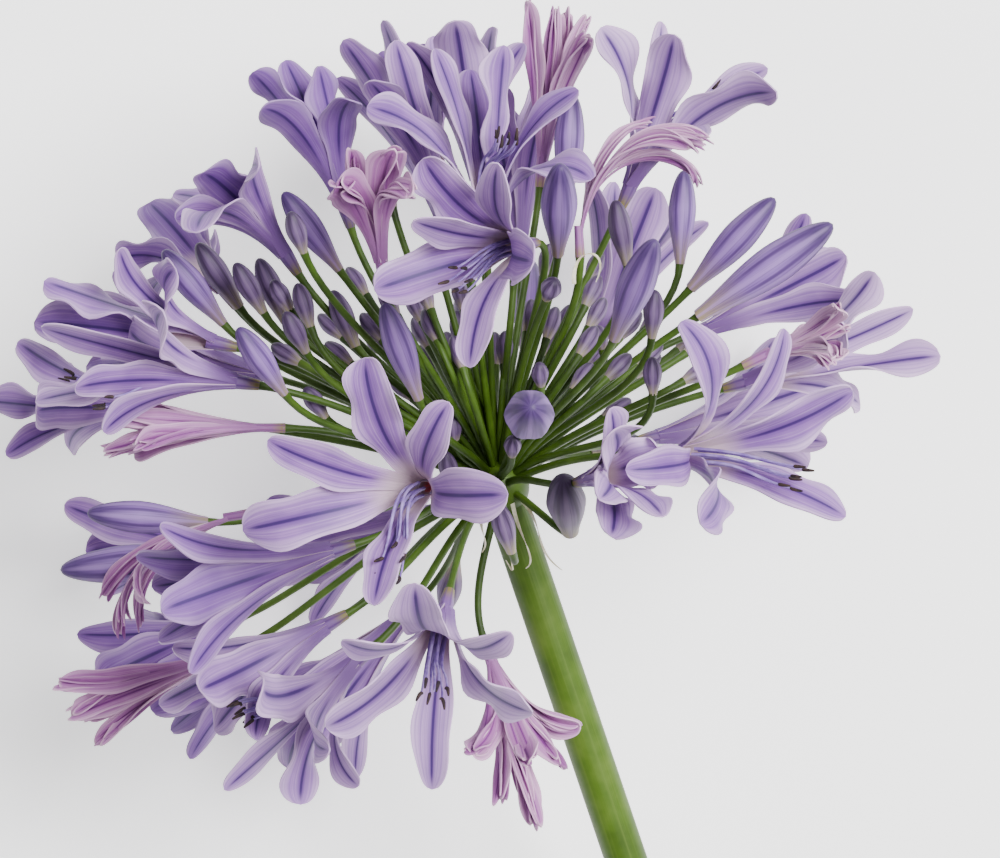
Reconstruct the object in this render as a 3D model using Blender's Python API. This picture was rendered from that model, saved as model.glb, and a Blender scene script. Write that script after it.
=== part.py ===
"""Agapanthus: one cut stalk with its round head of blooms and buds, laid on a flat surface.

The head is laid out from a view straight down on it. A spot in that view is given in pixels of the
1000 by 858 photograph, across and down, and heights are in mm above the hub, the knob at the top of the
stalk that every flower stalk springs from.
"""

import math
import random
from dataclasses import dataclass

import bmesh
import bpy
from mathutils import Matrix, Quaternion, Vector
from mathutils.bvhtree import BVHTree

MM = 0.001

# The view straight down: real size of a pixel at the hub, height of the eye and where it looks.
PIXEL = 0.22 * MM
VIEW_HEIGHT = 900 * MM
VIEW_ACROSS = 500
VIEW_DOWN = 429
HUB_DOWN = 487
UP = Vector((0, 0, 1))

# The stalk lies from the hub down to its cut end on the surface.
HUB = Vector((0.12, 110.6, 85)) * MM
HUB_RADIUS = 6.5 * MM
STALK_RUN = Vector((0.319, -0.948, 0))
STALK_LENGTH = 355 * MM
STALK_RADIUS_TOP = 4.6 * MM
STALK_RADIUS_LOW = 5.3 * MM
STALK_SIDES = 10

# Flower stalks. Each sets off from inside the hub, a little up, and comes in straight behind its floret.
PEDICEL_RADIUS = 1.2 * MM
PEDICEL_THIN = 1.05 * MM
PEDICEL_COLLAR = 0.25 * MM
PEDICEL_SIDES = 3
PEDICEL_STEPS = 3
PEDICEL_UPWARD = 0.2
PEDICEL_FIRST_REACH = 0.42
PEDICEL_LAST_REACH = 0.3
PEDICEL_LAST_REACH_MOST = 16 * MM
PEDICEL_IN_HUB = 0.4
PEDICEL_APART_FROM = 0.35
PEDICEL_BODY_FROM = 0.15
SEAT_GAP = 0.3 * MM

# An open bloom: a tube that widens to the throat, six tepals and curved stamens.
TUBE_LENGTH = 13 * MM
TUBE_RADIUS_LOW = 1.3 * MM
TUBE_RADIUS_THROAT = 3.0 * MM
TEPAL_LENGTH = 33 * MM
TEPAL_HALF_WIDTH = (5.3 * MM, 4.2 * MM)
TEPAL_ROOT_RADIUS = 2.1 * MM
TEPAL_SUNK = 1.2 * MM
TEPAL_WIDEST = 0.62
TEPAL_TIP_STARTS = 0.7
TEPAL_WAIST = 1.3
TEPAL_STEPS_TOWARD_TIP = 1.3
TEPAL_APART_FROM = 0.1
TEPAL_START_SPREAD = 0.42
LIMP_START_SPREAD = 0.12
TEPAL_HANDLE = 0.36
TEPAL_TROUGH = 0.1
TEPAL_ROOT_CUP = 0.3
TEPAL_RUFFLE = 0.1
RUFFLE_WAVES = 9
RUFFLE_PHASE = 1.9
BLADE = 0.7 * MM
WHORL_STAGGER = 4
WHORL_CHANCE = 5

# A filament and its anther: share of the length, then of the filament's radius.
STAMEN_LENGTH = 25 * MM
STAMEN_RADIUS = 0.42 * MM
STAMEN_PROFILE = ((0, 1), (0.5, 1), (0.87, 1), (0.9, 2.2), (1, 1.4))
STAMEN_SIDES = 3
STAMENS_SHOWN = 2
STAMEN_ROOT_RADIUS = 0.75 * MM
STAMEN_MIDDLE_RADIUS = 1.2 * MM
STAMEN_BEND_RADIUS = 2.2 * MM
STAMEN_TIP_RADIUS = 2.6 * MM
STAMEN_SUNK = 0.5 * MM
STAMEN_SAG = 1.5 * MM

# Buds are spindles, widest past the middle: share of the length, then of the radius.
BUD_PROFILE = ((0, 0.32), (0.3, 0.74), (0.72, 1), (1, 0.26))
SMALL_BUD_PROFILE = ((0, 0.42), (0.6, 1), (1, 0.28))
BUD_RADIUS = 1.3 * MM
BUD_RADIUS_GROWTH = 0.08
BUD_SUNK = 1.2 * MM
FLORET_SIDES = 6

# Space kept between pieces that belong to different nodes, and between a piece and the surface.
CLEAR = 0.35 * MM
ABOVE_SURFACE = 1.3 * MM
FLAT_WITHIN = 0.1 * MM
WELD = 0.01 * MM
TINY = 0.5 * MM

LAVENDER = (0.46, 0.39, 0.74)
FADED_PINK = (0.62, 0.34, 0.58)
BUD_PURPLE = (0.23, 0.16, 0.36)
STALK_GREEN = (0.14, 0.30, 0.04)
ROUGHNESS = 0.5


@dataclass
class Bloom:
    """A bloom: its seat (across, down, height), then spots (across, down, lean toward the viewer)."""

    seat: tuple
    throat: tuple
    tips: tuple = ()
    splay: float = 28
    roll: float = 0
    anthers: tuple = ()
    width: float = 1.0
    length: float = 1.0
    limp: bool = False
    rests: bool = False
    near: bool = False

    @property
    def steps(self):
        """Rows of faces along each tepal."""
        return 5 if self.rests else 4 if self.near else 3


@dataclass
class Bud:
    """A bud between two places (across, down, height); fat widens it."""

    seat: tuple
    tip: tuple
    fat: float = 1.0


OPEN_BLOOMS = [
    Bloom(
        (437, 484, 58),
        (412, 492, 1),
        tips=(
            (365, 357, 0.6),
            (449, 402, 0.6),
            (508, 494, 0.9),
            (374, 606, 0.7),
            (243, 530, 0.4),
            (268, 440, 0.5),
        ),
        anthers=(392, 565, 0.6),
        near=True,
    ),
    Bloom(
        (449, 592, 52),
        (438, 640, 1),
        tips=(
            (415, 583, 0.9),
            (511, 632, 0.8),
            (533, 712, 0.5),
            (432, 790, 0.2),
            (325, 727, 0.4),
            (342, 640, 0.6),
        ),
        anthers=(434, 692, 1),
        near=True,
    ),
    Bloom(
        (535, 243, 40),
        (505, 248, 1),
        tips=(
            (423, 158, 0.5),
            (498, 163, 0.9),
            (534, 262, 1),
            (470, 368, 0.6),
            (374, 290, 0.5),
            (414, 222, 0.6),
        ),
        anthers=(458, 282, 0.8),
        near=True,
    ),
    Bloom(
        (655, 455, 32),
        (697, 456, 0.6),
        tips=(
            (680, 322, 0.6),
            (784, 328, 0.4),
            (853, 390, 0.2),
            (846, 517, 0.3),
            (700, 524, 0.9),
            (625, 470, 0.8),
        ),
        anthers=(795, 478, 0.5),
        near=True,
    ),
    Bloom(
        (487, 250, 22),
        (485, 193, 0.3),
        tips=(
            (504, 45, 0.4),
            (579, 90, 0.3),
            (591, 180, 0.5),
            (470, 70, -0.9),
            (367, 107, 0.2),
            (415, 57, 0.3),
        ),
        anthers=(507, 140, 0.5),
    ),
    Bloom(
        (257, 385, 25),
        (200, 375, 0.3),
        tips=(
            (163, 310, 0.9),
            (41, 327, 0.4),
            (35, 402, 0.2),
            (103, 432, 0.3),
            (130, 330, -0.6),
            (75, 395, 0.6),
        ),
        anthers=(110, 395, 0.4),
    ),
    Bloom(
        (235, 347, 10),
        (172, 333, 0.2),
        tips=(
            (42, 281, 0.4),
            (119, 249, 0.5),
            (146, 266, 0.6),
            (80, 300, -0.8),
            (29, 321, 0.2),
            (60, 355, 0.7),
        ),
    ),
    Bloom(
        (175, 415, -10),
        (118, 405, 0.1),
        tips=(
            (17, 342, 0.2),
            (60, 375, -0.8),
            (-20, 400, 0.1),
            (0, 440, 0),
            (36, 411, 0.7),
            (70, 450, -0.6),
        ),
        anthers=(70, 385, 0.3),
    ),
    Bloom(
        (622, 205, 5),
        (645, 152, 0.2),
        tips=(
            (600, 28, 0.1),
            (627, 23, -0.3),
            (674, 36, 0.4),
            (768, 68, 0.3),
            (772, 97, 0.4),
            (700, 140, 0.9),
        ),
        anthers=(728, 90, 0.3),
    ),
    Bloom(
        (725, 388, -5),
        (782, 372, 0.1),
        tips=(
            (875, 272, 0.2),
            (916, 308, 0.2),
            (941, 356, 0.1),
            (840, 320, 0.8),
            (860, 405, -0.4),
            (850, 360, -0.9),
        ),
    ),
    Bloom(
        (578, 482, 40),
        (606, 474, 0.8),
        tips=(
            (614, 430, 0.85),
            (645, 425, 0.8),
            (672, 445, 0.9),
            (670, 500, 0.8),
            (640, 512, 0.85),
            (600, 500, 0.9),
        ),
    ),
    Bloom((480, 200, -10), (474, 142, 0), splay=22, roll=20, length=0.8, anthers=(458, 57, 0.1)),
    Bloom(
        (450, 215, -5),
        (428, 160, 0),
        tips=(
            (343, 40, 0.2),
            (395, 40, 0.5),
            (404, 15, -0.2),
            (370, 82, 0.5),
            (380, 60, -0.8),
            (430, 50, -0.6),
        ),
    ),
    Bloom(
        (350, 225, 5),
        (336, 176, 0.4),
        tips=(
            (252, 72, 0.5),
            (285, 60, -0.3),
            (318, 66, 0.3),
            (350, 100, 0.8),
            (300, 100, -0.9),
            (262, 108, 1),
        ),
    ),
    Bloom(
        (235, 305, -25),
        (205, 262, -0.4),
        tips=(
            (149, 203, -0.6),
            (131, 229, -0.7),
            (132, 258, -0.6),
            (165, 205, -0.9),
            (175, 245, -1),
            (160, 275, -0.9),
        ),
    ),
    Bloom(
        (297, 272, 10),
        (266, 224, 0.4),
        tips=(
            (203, 172, 0.6),
            (218, 176, -0.5),
            (190, 190, -0.7),
            (177, 206, 0.2),
            (190, 216, 0.9),
            (222, 190, 1),
        ),
    ),
    Bloom((352, 545, 38), (300, 560, 0.4), splay=28, roll=20),
    Bloom(
        (345, 615, 25),
        (292, 645, 0.2),
        tips=(
            (159, 705, 0.1),
            (172, 648, 0.2),
            (200, 690, 0.8),
            (190, 650, -0.8),
            (215, 730, -0.5),
            (255, 740, 0.6),
        ),
    ),
    Bloom((240, 618, -20), (200, 632, -0.8), splay=14, roll=0, length=0.86),
    Bloom(
        (372, 648, 30),
        (328, 685, 0.3),
        tips=(
            (262, 690, 0.7),
            (224, 790, 0.3),
            (300, 805, 0.2),
            (345, 790, 0.2),
            (290, 770, -0.7),
            (330, 750, 0.9),
        ),
        anthers=(240, 712, 0.5),
    ),
    Bloom((690, 335, -25), (742, 314, -0.3), splay=20, roll=0, length=0.82),
    Bloom((585, 370, -50), (605, 318, -0.6), splay=25, roll=30),
    Bloom((240, 552, -35), (203, 549, -0.8), splay=15, roll=0),
]

FADED_BLOOMS = [
    Bloom(
        (385, 283, 38),
        (375, 226, 0.3),
        tips=(
            (337, 186, 0.5),
            (350, 148, 0.2),
            (397, 152, 0.5),
            (413, 196, 0.8),
            (362, 175, -0.5),
            (390, 165, -0.6),
        ),
        width=0.9,
    ),
    Bloom(
        (580, 255, 30),
        (577, 196, 0.2),
        tips=((707, 140, 0.2), (700, 128, 0), (690, 150, 0.4), (655, 118, 0.2), (700, 148, -0.3)),
        width=0.4,
        length=1.1,
        limp=True,
    ),
    Bloom(
        (540, 185, -15),
        (546, 128, 0),
        tips=((526, 0, 0.2), (550, 8, 0.4), (568, 10, 0), (586, 14, 0.3), (590, 38, 0.6), (560, 20, -0.4)),
        width=0.6,
        length=0.9,
    ),
    Bloom(
        (283, 428, 15),
        (226, 427, 0.2),
        tips=((108, 420, 0.2), (100, 452, 0.3), (120, 405, 0), (135, 445, 0.6), (125, 430, -0.5)),
        width=0.7,
        limp=True,
    ),
    Bloom(
        (745, 365, 10),
        (795, 340, 0.2),
        tips=((838, 310, 0.8), (845, 330, 0.3), (852, 348, 0.6), (832, 365, 0.4), (840, 335, -0.4)),
        width=0.5,
        length=0.8,
    ),
    Bloom((235, 650, 0), (190, 667, -0.4), splay=11, roll=0, width=0.7, length=0.82),
    Bloom(
        (484, 640, 8),
        (503, 693, 0.4),
        tips=(
            (470, 752, 0.5),
            (500, 800, 0.3),
            (537, 825, 0.2),
            (562, 765, 0.3),
            (582, 732, 0.4),
            (515, 765, 0.9),
        ),
        width=0.7,
        length=0.9,
    ),
    Bloom(
        (252, 513, 20),
        (196, 522, 0.1),
        tips=((118, 636, 0.1), (128, 625, 0.3), (150, 600, 0.4), (140, 628, -0.2), (110, 610, 0)),
        width=0.4,
        limp=True,
    ),
]

LARGE_BUDS = [
    Bud((558, 252, 25), (560, 165, 50)),
    Bud((566, 200, -5), (572, 92, -5)),
    Bud((680, 262, -5), (684, 170, -5)),
    Bud((615, 337, 40), (655, 240, 60)),
    Bud((692, 287, 5), (775, 198, 10)),
    Bud((700, 315, 15), (833, 224, 25)),
    Bud((527, 425, 42), (531, 407, 72), fat=1.35),
    Bud((418, 397, 30), (384, 303, 40)),
    Bud((283, 392, 30), (238, 328, 40)),
    Bud((222, 322, 5), (163, 250, 10)),
    Bud((338, 268, 20), (283, 192, 25)),
    Bud((205, 522, 10), (87, 513, 15)),
    Bud((213, 556, 5), (60, 570, 10)),
    Bud((526, 352, -30), (530, 260, -50)),
]

SMALL_BUDS = [
    Bud((627, 262, 15), (615, 200, 20)),
    Bud((653, 392, 35), (652, 357, 38)),
    Bud((652, 335, 25), (655, 290, 30)),
    Bud((541, 385, 30), (539, 363, 34)),
    Bud((512, 455, 25), (513, 437, 30)),
    Bud((570, 530, 20), (563, 478, 40), fat=1.3),
    Bud((511, 550, 38), (497, 503, 45)),
    Bud((452, 485, 20), (445, 452, 25)),
    Bud((238, 305, 0), (197, 243, 5)),
    Bud((262, 310, 10), (235, 263, 15)),
    Bud((285, 320, 5), (258, 258, 5)),
    Bud((290, 310, 15), (272, 280, 15)),
    Bud((310, 325, 20), (297, 283, 20)),
    Bud((355, 345, 10), (332, 290, 10)),
    Bud((324, 415, 15), (305, 388, 20)),
    Bud((305, 350, 25), (285, 312, 30)),
    Bud((303, 250, 40), (290, 212, 45)),
    Bud((547, 297, 34), (555, 280, 39), fat=1.2),
    Bud((603, 350, -10), (597, 325, -10)),
    Bud((460, 345, -5), (457, 310, -5)),
    Bud((392, 205, -5), (378, 150, -5)),
    Bud((455, 440, 10), (452, 415, 12)),
]

# The far side of the head, hidden behind the near blooms in that view. Two blooms rest on the surface.
FAR_BLOOMS = [
    Bloom((442, 507, -62), (394, 522, -0.85), splay=27, roll=0, rests=True),
    Bloom((640, 440, -59), (688, 430, -0.9), splay=27, roll=0, rests=True),
    Bloom((420, 600, -46), (385, 637, -0.2), splay=24, roll=0),
    Bloom((520, 275, -44), (517, 222, -0.3), splay=22, roll=0),
    Bloom((275, 378, -38), (222, 364, -0.3), splay=22, roll=20),
    Bloom((450, 240, -36), (434, 188, -0.1), splay=19, roll=0),
    Bloom((330, 622, -38), (278, 645, -0.1), splay=20, roll=20),
]

FAR_BUDS = [
    Bud((470, 360, -50), (463, 290, -66)),
    Bud((590, 452, -55), (640, 440, -68)),
    Bud((400, 430, -52), (350, 405, -66)),
    Bud((455, 560, -52), (445, 610, -66)),
]

# How far a tepal may bend to miss its neighbours: along the view, round its bloom, wider or closer, shorter.
LEANS = (0, 3, -3, 6, -6, 10, -10, 14, -14)
SWINGS = (0, 9, -9, 18, -18)
OPENINGS = (0, 8, -8, 16, -16)
SHORTER = (1, 0.85, 0.7)
SHIFTS = (0, 3, -3, 6, -6, 9, -9, 12, -12)
BOWS = (0, 4, -4, 8, -8, 12, -12)


def place(across, down, height=0.0):
    """The point that the view shows at a pixel, at a height in mm above the hub."""
    size = PIXEL * (1 - height * MM / VIEW_HEIGHT)
    x = (across - VIEW_ACROSS) * size
    y = (VIEW_DOWN - down) * size + (HUB_DOWN - VIEW_DOWN) * PIXEL
    return HUB + Vector((x, y, height * MM))


def reach(start, spot, length):
    """The point seen at a spot that lies a length from start; the spot's third value is its lean to the eye."""
    across, down, lean = spot
    level = (start.z - HUB.z) / MM
    short = (place(across, down, level) - start).length
    rise = lean * math.sqrt(max(length**2 - short**2, 0))
    return place(across, down, level + rise / MM)


def any_across(axis):
    """A direction square to the axis, the same one for the same axis."""
    other = UP if abs(axis.z) < 0.9 else Vector((0, 1, 0))
    return axis.cross(other).normalized()


def curve_point(curve, t):
    a, b, c, d = curve
    u = 1 - t
    return a * u**3 + b * (3 * u * u * t) + c * (3 * u * t * t) + d * t**3


def curve_heading(curve, t):
    a, b, c, d = curve
    u = 1 - t
    return ((b - a) * (u * u) + (c - b) * (2 * u * t) + (d - c) * (t * t)).normalized()


def ring_matrix(centre, heading, side, radius):
    """Turns a unit circle to stand square to the heading at a centre."""
    across = (side - heading * side.dot(heading)).normalized()
    turn = Matrix((across, heading.cross(across), heading)).transposed()
    return Matrix.Translation(centre) @ turn.to_4x4() @ Matrix.Diagonal((radius, radius, radius, 1))


def sweep(bm, rings, sides):
    """Skins a chain of rings (centre, heading, radius) and closes both ends."""
    side = any_across(rings[0][1])
    before = None
    for centre, heading, radius in rings:
        matrix = ring_matrix(centre, heading, side, radius)
        if before is None:
            disc = bmesh.ops.create_circle(bm, cap_ends=True, radius=1, segments=sides, matrix=matrix)
            verts = disc["verts"]
            edges = list({edge for vert in verts for edge in vert.link_edges})
        else:
            grown = bmesh.ops.extrude_edge_only(bm, edges=edges)["geom"]
            verts = [item for item in grown if isinstance(item, bmesh.types.BMVert)]
            edges = [item for item in grown if isinstance(item, bmesh.types.BMEdge)]
            bmesh.ops.transform(bm, matrix=matrix @ before.inverted(), verts=verts)
        before = matrix
        side = matrix.col[0].xyz.normalized()
    bmesh.ops.edgeloop_fill(bm, edges=edges)


def closed(bm):
    """Faces split into triangles and turned outward."""
    bmesh.ops.triangulate(bm, faces=bm.faces)
    bmesh.ops.recalc_face_normals(bm, faces=bm.faces)
    return bm


class Crowd:
    """The pieces placed so far, each with its owner, to keep different nodes apart."""

    def __init__(self):
        self.pieces = []

    def add(self, owner, bm):
        self.pieces.append((owner, BVHTree.FromBMesh(bm), *bounds(bm)))

    def hits(self, owners, bm):
        """Whether a piece crosses any that isn't one of its owners' own."""
        tree = BVHTree.FromBMesh(bm)
        low, high = bounds(bm)
        for other, other_tree, other_low, other_high in self.pieces:
            if other in owners:
                continue
            if any(low[i] > other_high[i] or high[i] < other_low[i] for i in range(3)):
                continue
            if tree.overlap(other_tree):
                return True
        return False


def bounds(bm):
    points = [vert.co for vert in bm.verts]
    return (
        [min(point[i] for point in points) for i in range(3)],
        [max(point[i] for point in points) for i in range(3)],
    )


@dataclass
class Form:
    """A floret settled in space: where it sits, which way it faces and its tepal tips."""

    name: str
    seat: Vector
    axis: Vector
    row: object
    tips: tuple = ()

    @property
    def throat(self):
        return self.seat + self.axis * TUBE_LENGTH


def bloom_form(name, row, shift=0.0):
    across, down, height = row.seat
    seat = place(across, down, height + shift)
    axis = (reach(seat, row.throat, TUBE_LENGTH) - seat).normalized()
    return Form(name, seat, axis, row)


def bud_form(name, row, shift=0.0):
    seat = place(*row.seat[:2], row.seat[2] + shift)
    tip = place(*row.tip[:2], row.tip[2] + shift)
    form = Form(name, seat, (tip - seat).normalized(), row)
    form.tips = (tip,)
    return form


def tepal_tips(form, chance):
    """Tips from their spots in the view, or spread evenly round the axis."""
    row = form.row
    length = TEPAL_LENGTH * row.length
    if row.tips:
        return tuple(reach(form.throat, spot, length) for spot in row.tips)
    side = any_across(form.axis)
    tips = []
    for index in range(6):
        round_axis = Quaternion(form.axis, math.radians(row.roll + 60 * index))
        outward = round_axis @ side
        stagger = WHORL_STAGGER if index % 2 else -WHORL_STAGGER
        splay = math.radians(row.splay + stagger + chance.uniform(-WHORL_CHANCE, WHORL_CHANCE))
        tips.append(form.throat + (form.axis * math.cos(splay) + outward * math.sin(splay)) * length)
    return tuple(tips)


def tube(form, spare=0.0):
    bm = bmesh.new()
    start = form.seat + form.axis * (SEAT_GAP - spare)
    sweep(
        bm,
        [
            (start, form.axis, TUBE_RADIUS_LOW + spare),
            (form.throat + form.axis * spare, form.axis, TUBE_RADIUS_THROAT + spare),
        ],
        FLORET_SIDES,
    )
    return closed(bm)


def bud_solid(form, profile, spare=0.0, sunk=0.0):
    """A spindle from the seat to the tip; its radius grows with its length."""
    bm = bmesh.new()
    start = form.seat + form.axis * (SEAT_GAP - sunk)
    run = form.tips[0] - start
    radius = (BUD_RADIUS + BUD_RADIUS_GROWTH * run.length) * form.row.fat
    rings = [(start + run * along, form.axis, radius * share + spare) for along, share in profile]
    sweep(bm, rings, FLORET_SIDES)
    return closed(bm)


def pedicel_curve(seat, axis, bow=Vector()):
    """Leaves the hub a little toward the top of the stalk's line and arrives along the floret's axis."""
    run = seat - HUB
    start = (run.normalized() - STALK_DIRECTION * PEDICEL_UPWARD).normalized()
    last = min(run.length * PEDICEL_LAST_REACH, PEDICEL_LAST_REACH_MOST)
    return (
        HUB + start * HUB_RADIUS * PEDICEL_IN_HUB,
        HUB + start * run.length * PEDICEL_FIRST_REACH + bow,
        seat - axis * last + bow,
        seat,
    )


def pedicel(curve, spare=0.0, start=0.0):
    bm = bmesh.new()
    rings = []
    for step in range(PEDICEL_STEPS + 1):
        t = start + (1 - start) * step / PEDICEL_STEPS
        radius = PEDICEL_RADIUS + (PEDICEL_THIN - PEDICEL_RADIUS) * t
        rings.append((curve_point(curve, t), curve_heading(curve, t), radius + spare))
    rings[-1] = (curve[3], (curve[3] - curve[2]).normalized(), rings[-1][2] + PEDICEL_COLLAR)
    sweep(bm, rings, PEDICEL_SIDES)
    return closed(bm)


@dataclass
class Petal:
    """A tepal's middle line, the way its width runs, and its half width."""

    curve: tuple
    side: Vector
    half_width: float
    cup: float
    ruffle: float
    phase: float

    def faces_up(self):
        """Whether the inner face looks up at the tip."""
        return curve_heading(self.curve, 1).cross(self.side).z > 0


def petal_to(form, tip, index):
    row = form.row
    chord = tip - form.throat
    outward = chord - form.axis * chord.dot(form.axis)
    outward = outward.normalized() if outward.length > TINY else any_across(form.axis)
    root = form.throat - form.axis * TEPAL_SUNK + outward * TEPAL_ROOT_RADIUS
    line = (tip - root).normalized()
    spread = LIMP_START_SPREAD if row.limp else TEPAL_START_SPREAD
    start = (form.axis * (1 - spread) + line * spread).normalized()
    end = 2 * line.dot(start) * line - start
    handle = (tip - root).length * TEPAL_HANDLE
    curve = (root, root + start * handle, tip - end * handle, tip)
    half_width = TEPAL_HALF_WIDTH[index % 2] * row.width
    cup, ruffle = (TEPAL_ROOT_CUP, TEPAL_RUFFLE) if index % 2 == 0 else (0, 0)
    return Petal(curve, form.axis.cross(outward), half_width, cup, ruffle, index * RUFFLE_PHASE)


def petal_width(along):
    """Share of the full half width: a point sunk in the tube, widest past the middle, a round tip."""
    past = max(along - TEPAL_TIP_STARTS, 0) / (1 - TEPAL_TIP_STARTS)
    return math.sin(math.pi / 2 * min(along / TEPAL_WIDEST, 1)) ** TEPAL_WAIST * math.sqrt(1 - past * past)


def petal_point(petal, along, across, lift):
    """A point of the tepal's sheet: across runs from -1 to 1, lift is along the inner face's normal."""
    heading = curve_heading(petal.curve, along)
    inner = heading.cross(petal.side).normalized()
    side = inner.cross(heading).normalized()
    half = petal.half_width * petal_width(along)
    wave = petal.ruffle * math.sin(RUFFLE_WAVES * along + petal.phase)
    cup = TEPAL_TROUGH + petal.cup * (1 - along) ** 2 + wave
    return curve_point(petal.curve, along) + side * (half * across) + inner * (half * cup * across**2 + lift)


def petal_solid(petal, row, spare=0.0, start=0.0):
    bm = bmesh.new()
    thickness = BLADE + 2 * spare
    bmesh.ops.create_grid(bm, x_segments=2, y_segments=row.steps, size=0.5)
    surface = 0 if petal.faces_up() else BLADE
    for vert in bm.verts:
        along = 1 - (1 - start) * (0.5 - vert.co.y) ** TEPAL_STEPS_TOWARD_TIP
        vert.co = petal_point(petal, along, 2 * vert.co.x, -thickness / 2)
        if row.rests:
            vert.co.z = max(vert.co.z, surface)
    bmesh.ops.remove_doubles(bm, verts=bm.verts, dist=WELD)
    bmesh.ops.triangulate(bm, faces=bm.faces)
    bm.normal_update()
    bmesh.ops.solidify(bm, geom=bm.faces, thickness=thickness)
    if row.rests:
        for vert in bm.verts:
            vert.co.z = 0 if vert.co.z < FLAT_WITHIN else vert.co.z
    bmesh.ops.recalc_face_normals(bm, faces=bm.faces)
    return bm


def bends():
    """Every way to bend a tepal, the least first."""
    ways = []
    for lean in LEANS:
        for swing in SWINGS:
            for opening in OPENINGS:
                for shorter in SHORTER:
                    cost = abs(lean) / 3 + abs(swing) / 6 + abs(opening) / 5 + (1 - shorter) * 30
                    ways.append((cost, lean, swing, opening, shorter))
    return sorted(ways)


def bent_tip(form, tip, lean, swing, opening, shorter):
    chord = tip - form.throat
    outward = chord - form.axis * chord.dot(form.axis)
    if outward.length > TINY:
        chord = Quaternion(form.axis.cross(outward).normalized(), math.radians(opening)) @ chord
    chord = Quaternion(form.axis, math.radians(swing)) @ chord
    return form.throat + chord * shorter + UP * (lean * MM)


def settle(make_form, make_solids, crowd):
    """The floret moved up or down along the view, as little as keeps its body clear."""
    for shift in SHIFTS:
        form = make_form(shift)
        if not any(crowd.hits([form.name], solid) for solid in make_solids(form)):
            break
    else:
        form = make_form(0)
        print("no clear place for", form.name)
    for solid in make_solids(form):
        crowd.add(form.name, solid)
    return form


def clear_pedicel(form, crowd, others):
    """The least bowed way from the hub that crosses no other node, nor another flower stalk past the hub."""
    side = any_across(form.axis)
    other = form.axis.cross(side)
    ways = sorted((abs(a) + abs(b), a, b) for a in BOWS for b in BOWS)
    spare_way = None
    for _, a, b in ways:
        curve = pedicel_curve(form.seat, form.axis, (side * a + other * b) * MM)
        if crowd.hits([form.name, "stalk"], pedicel(curve, CLEAR)):
            continue
        free = pedicel(curve, start=PEDICEL_APART_FROM)
        if not others.hits([], free):
            others.add(form.name, free)
            return curve
        spare_way = spare_way or curve
    print("crossed stalk of", form.name, tuple(form.row.seat))
    return spare_way or pedicel_curve(form.seat, form.axis)


def clear_petals(form, crowd, ways):
    """The tepals of a bloom, each bent as little as keeps it clear of other nodes and of its own whorl."""
    petals = []
    own = Crowd()
    for index, tip in enumerate(form.tips):
        for _, *way in ways:
            petal = petal_to(form, bent_tip(form, tip, *way), index)
            test = petal_solid(petal, form.row, spare=CLEAR)
            low = min(vert.co.z for vert in test.verts)
            if not form.row.rests and low < ABOVE_SURFACE:
                continue
            free = petal_solid(petal, form.row, start=TEPAL_APART_FROM)
            if not crowd.hits([form.name], test) and not own.hits([], free):
                break
        else:
            print("no clear way for tepal", index, "of", form.name)
            continue
        crowd.add(form.name, test)
        own.add(form.name, free)
        petals.append(petal)
    return petals


def stamen_curves(form):
    """Filaments leave the throat together, sag and turn up to the anthers' spot."""
    goal = reach(form.throat, form.row.anthers, STAMEN_LENGTH)
    side = any_across(form.axis)
    curves = []
    for index in range(STAMENS_SHOWN):
        turn = Quaternion(form.axis, math.tau * index / STAMENS_SHOWN)
        out = turn @ side
        root = form.throat - form.axis * STAMEN_SUNK + out * STAMEN_ROOT_RADIUS
        tip = goal + out * STAMEN_TIP_RADIUS
        middle = form.throat + form.axis * STAMEN_LENGTH * 0.4 + out * STAMEN_MIDDLE_RADIUS
        bend = form.throat.lerp(goal, 0.65) - form.axis * STAMEN_SAG + out * STAMEN_BEND_RADIUS
        curves.append((root, middle, bend, tip))
    return curves


def stamen(curve, spare=0.0):
    """A filament that ends in its anther, in one run of rings."""
    bm = bmesh.new()
    rings = [
        (curve_point(curve, t), curve_heading(curve, t), STAMEN_RADIUS * fat + spare)
        for t, fat in STAMEN_PROFILE
    ]
    sweep(bm, rings, STAMEN_SIDES)
    return closed(bm)


def stalk_solids():
    start, end = HUB, HUB + STALK_DIRECTION * STALK_LENGTH
    stem = bmesh.new()
    rings = []
    for share in (0, 0.5, 1):
        radius = STALK_RADIUS_TOP + (STALK_RADIUS_LOW - STALK_RADIUS_TOP) * share
        rings.append((start.lerp(end, share), STALK_DIRECTION, radius))
    sweep(stem, rings, STALK_SIDES)
    hub = bmesh.new()
    bmesh.ops.create_icosphere(hub, subdivisions=1, radius=HUB_RADIUS, matrix=Matrix.Translation(HUB))
    return [closed(stem), hub]


def stalk_direction():
    """Down from the hub so that the cut end's lower edge meets the surface."""
    run = STALK_RUN.normalized()
    tilt = math.asin((HUB.z - STALK_RADIUS_LOW) / STALK_LENGTH)
    return run * math.cos(tilt) - UP * math.sin(tilt)


STALK_DIRECTION = stalk_direction()


def to_object(name, bm, colour=None):
    mesh = bpy.data.meshes.new(name)
    bm.to_mesh(mesh)
    obj = bpy.data.objects.new(name, mesh)
    bpy.context.scene.collection.objects.link(obj)
    if colour:
        mesh.materials.append(skin(name, colour))
    return obj


def skin(name, colour):
    material = bpy.data.materials.new(name)
    material.use_nodes = True
    shader = material.node_tree.nodes["Principled BSDF"]
    shader.inputs["Base Color"].default_value = (*colour, 1)
    shader.inputs["Roughness"].default_value = ROUGHNESS
    return material


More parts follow.
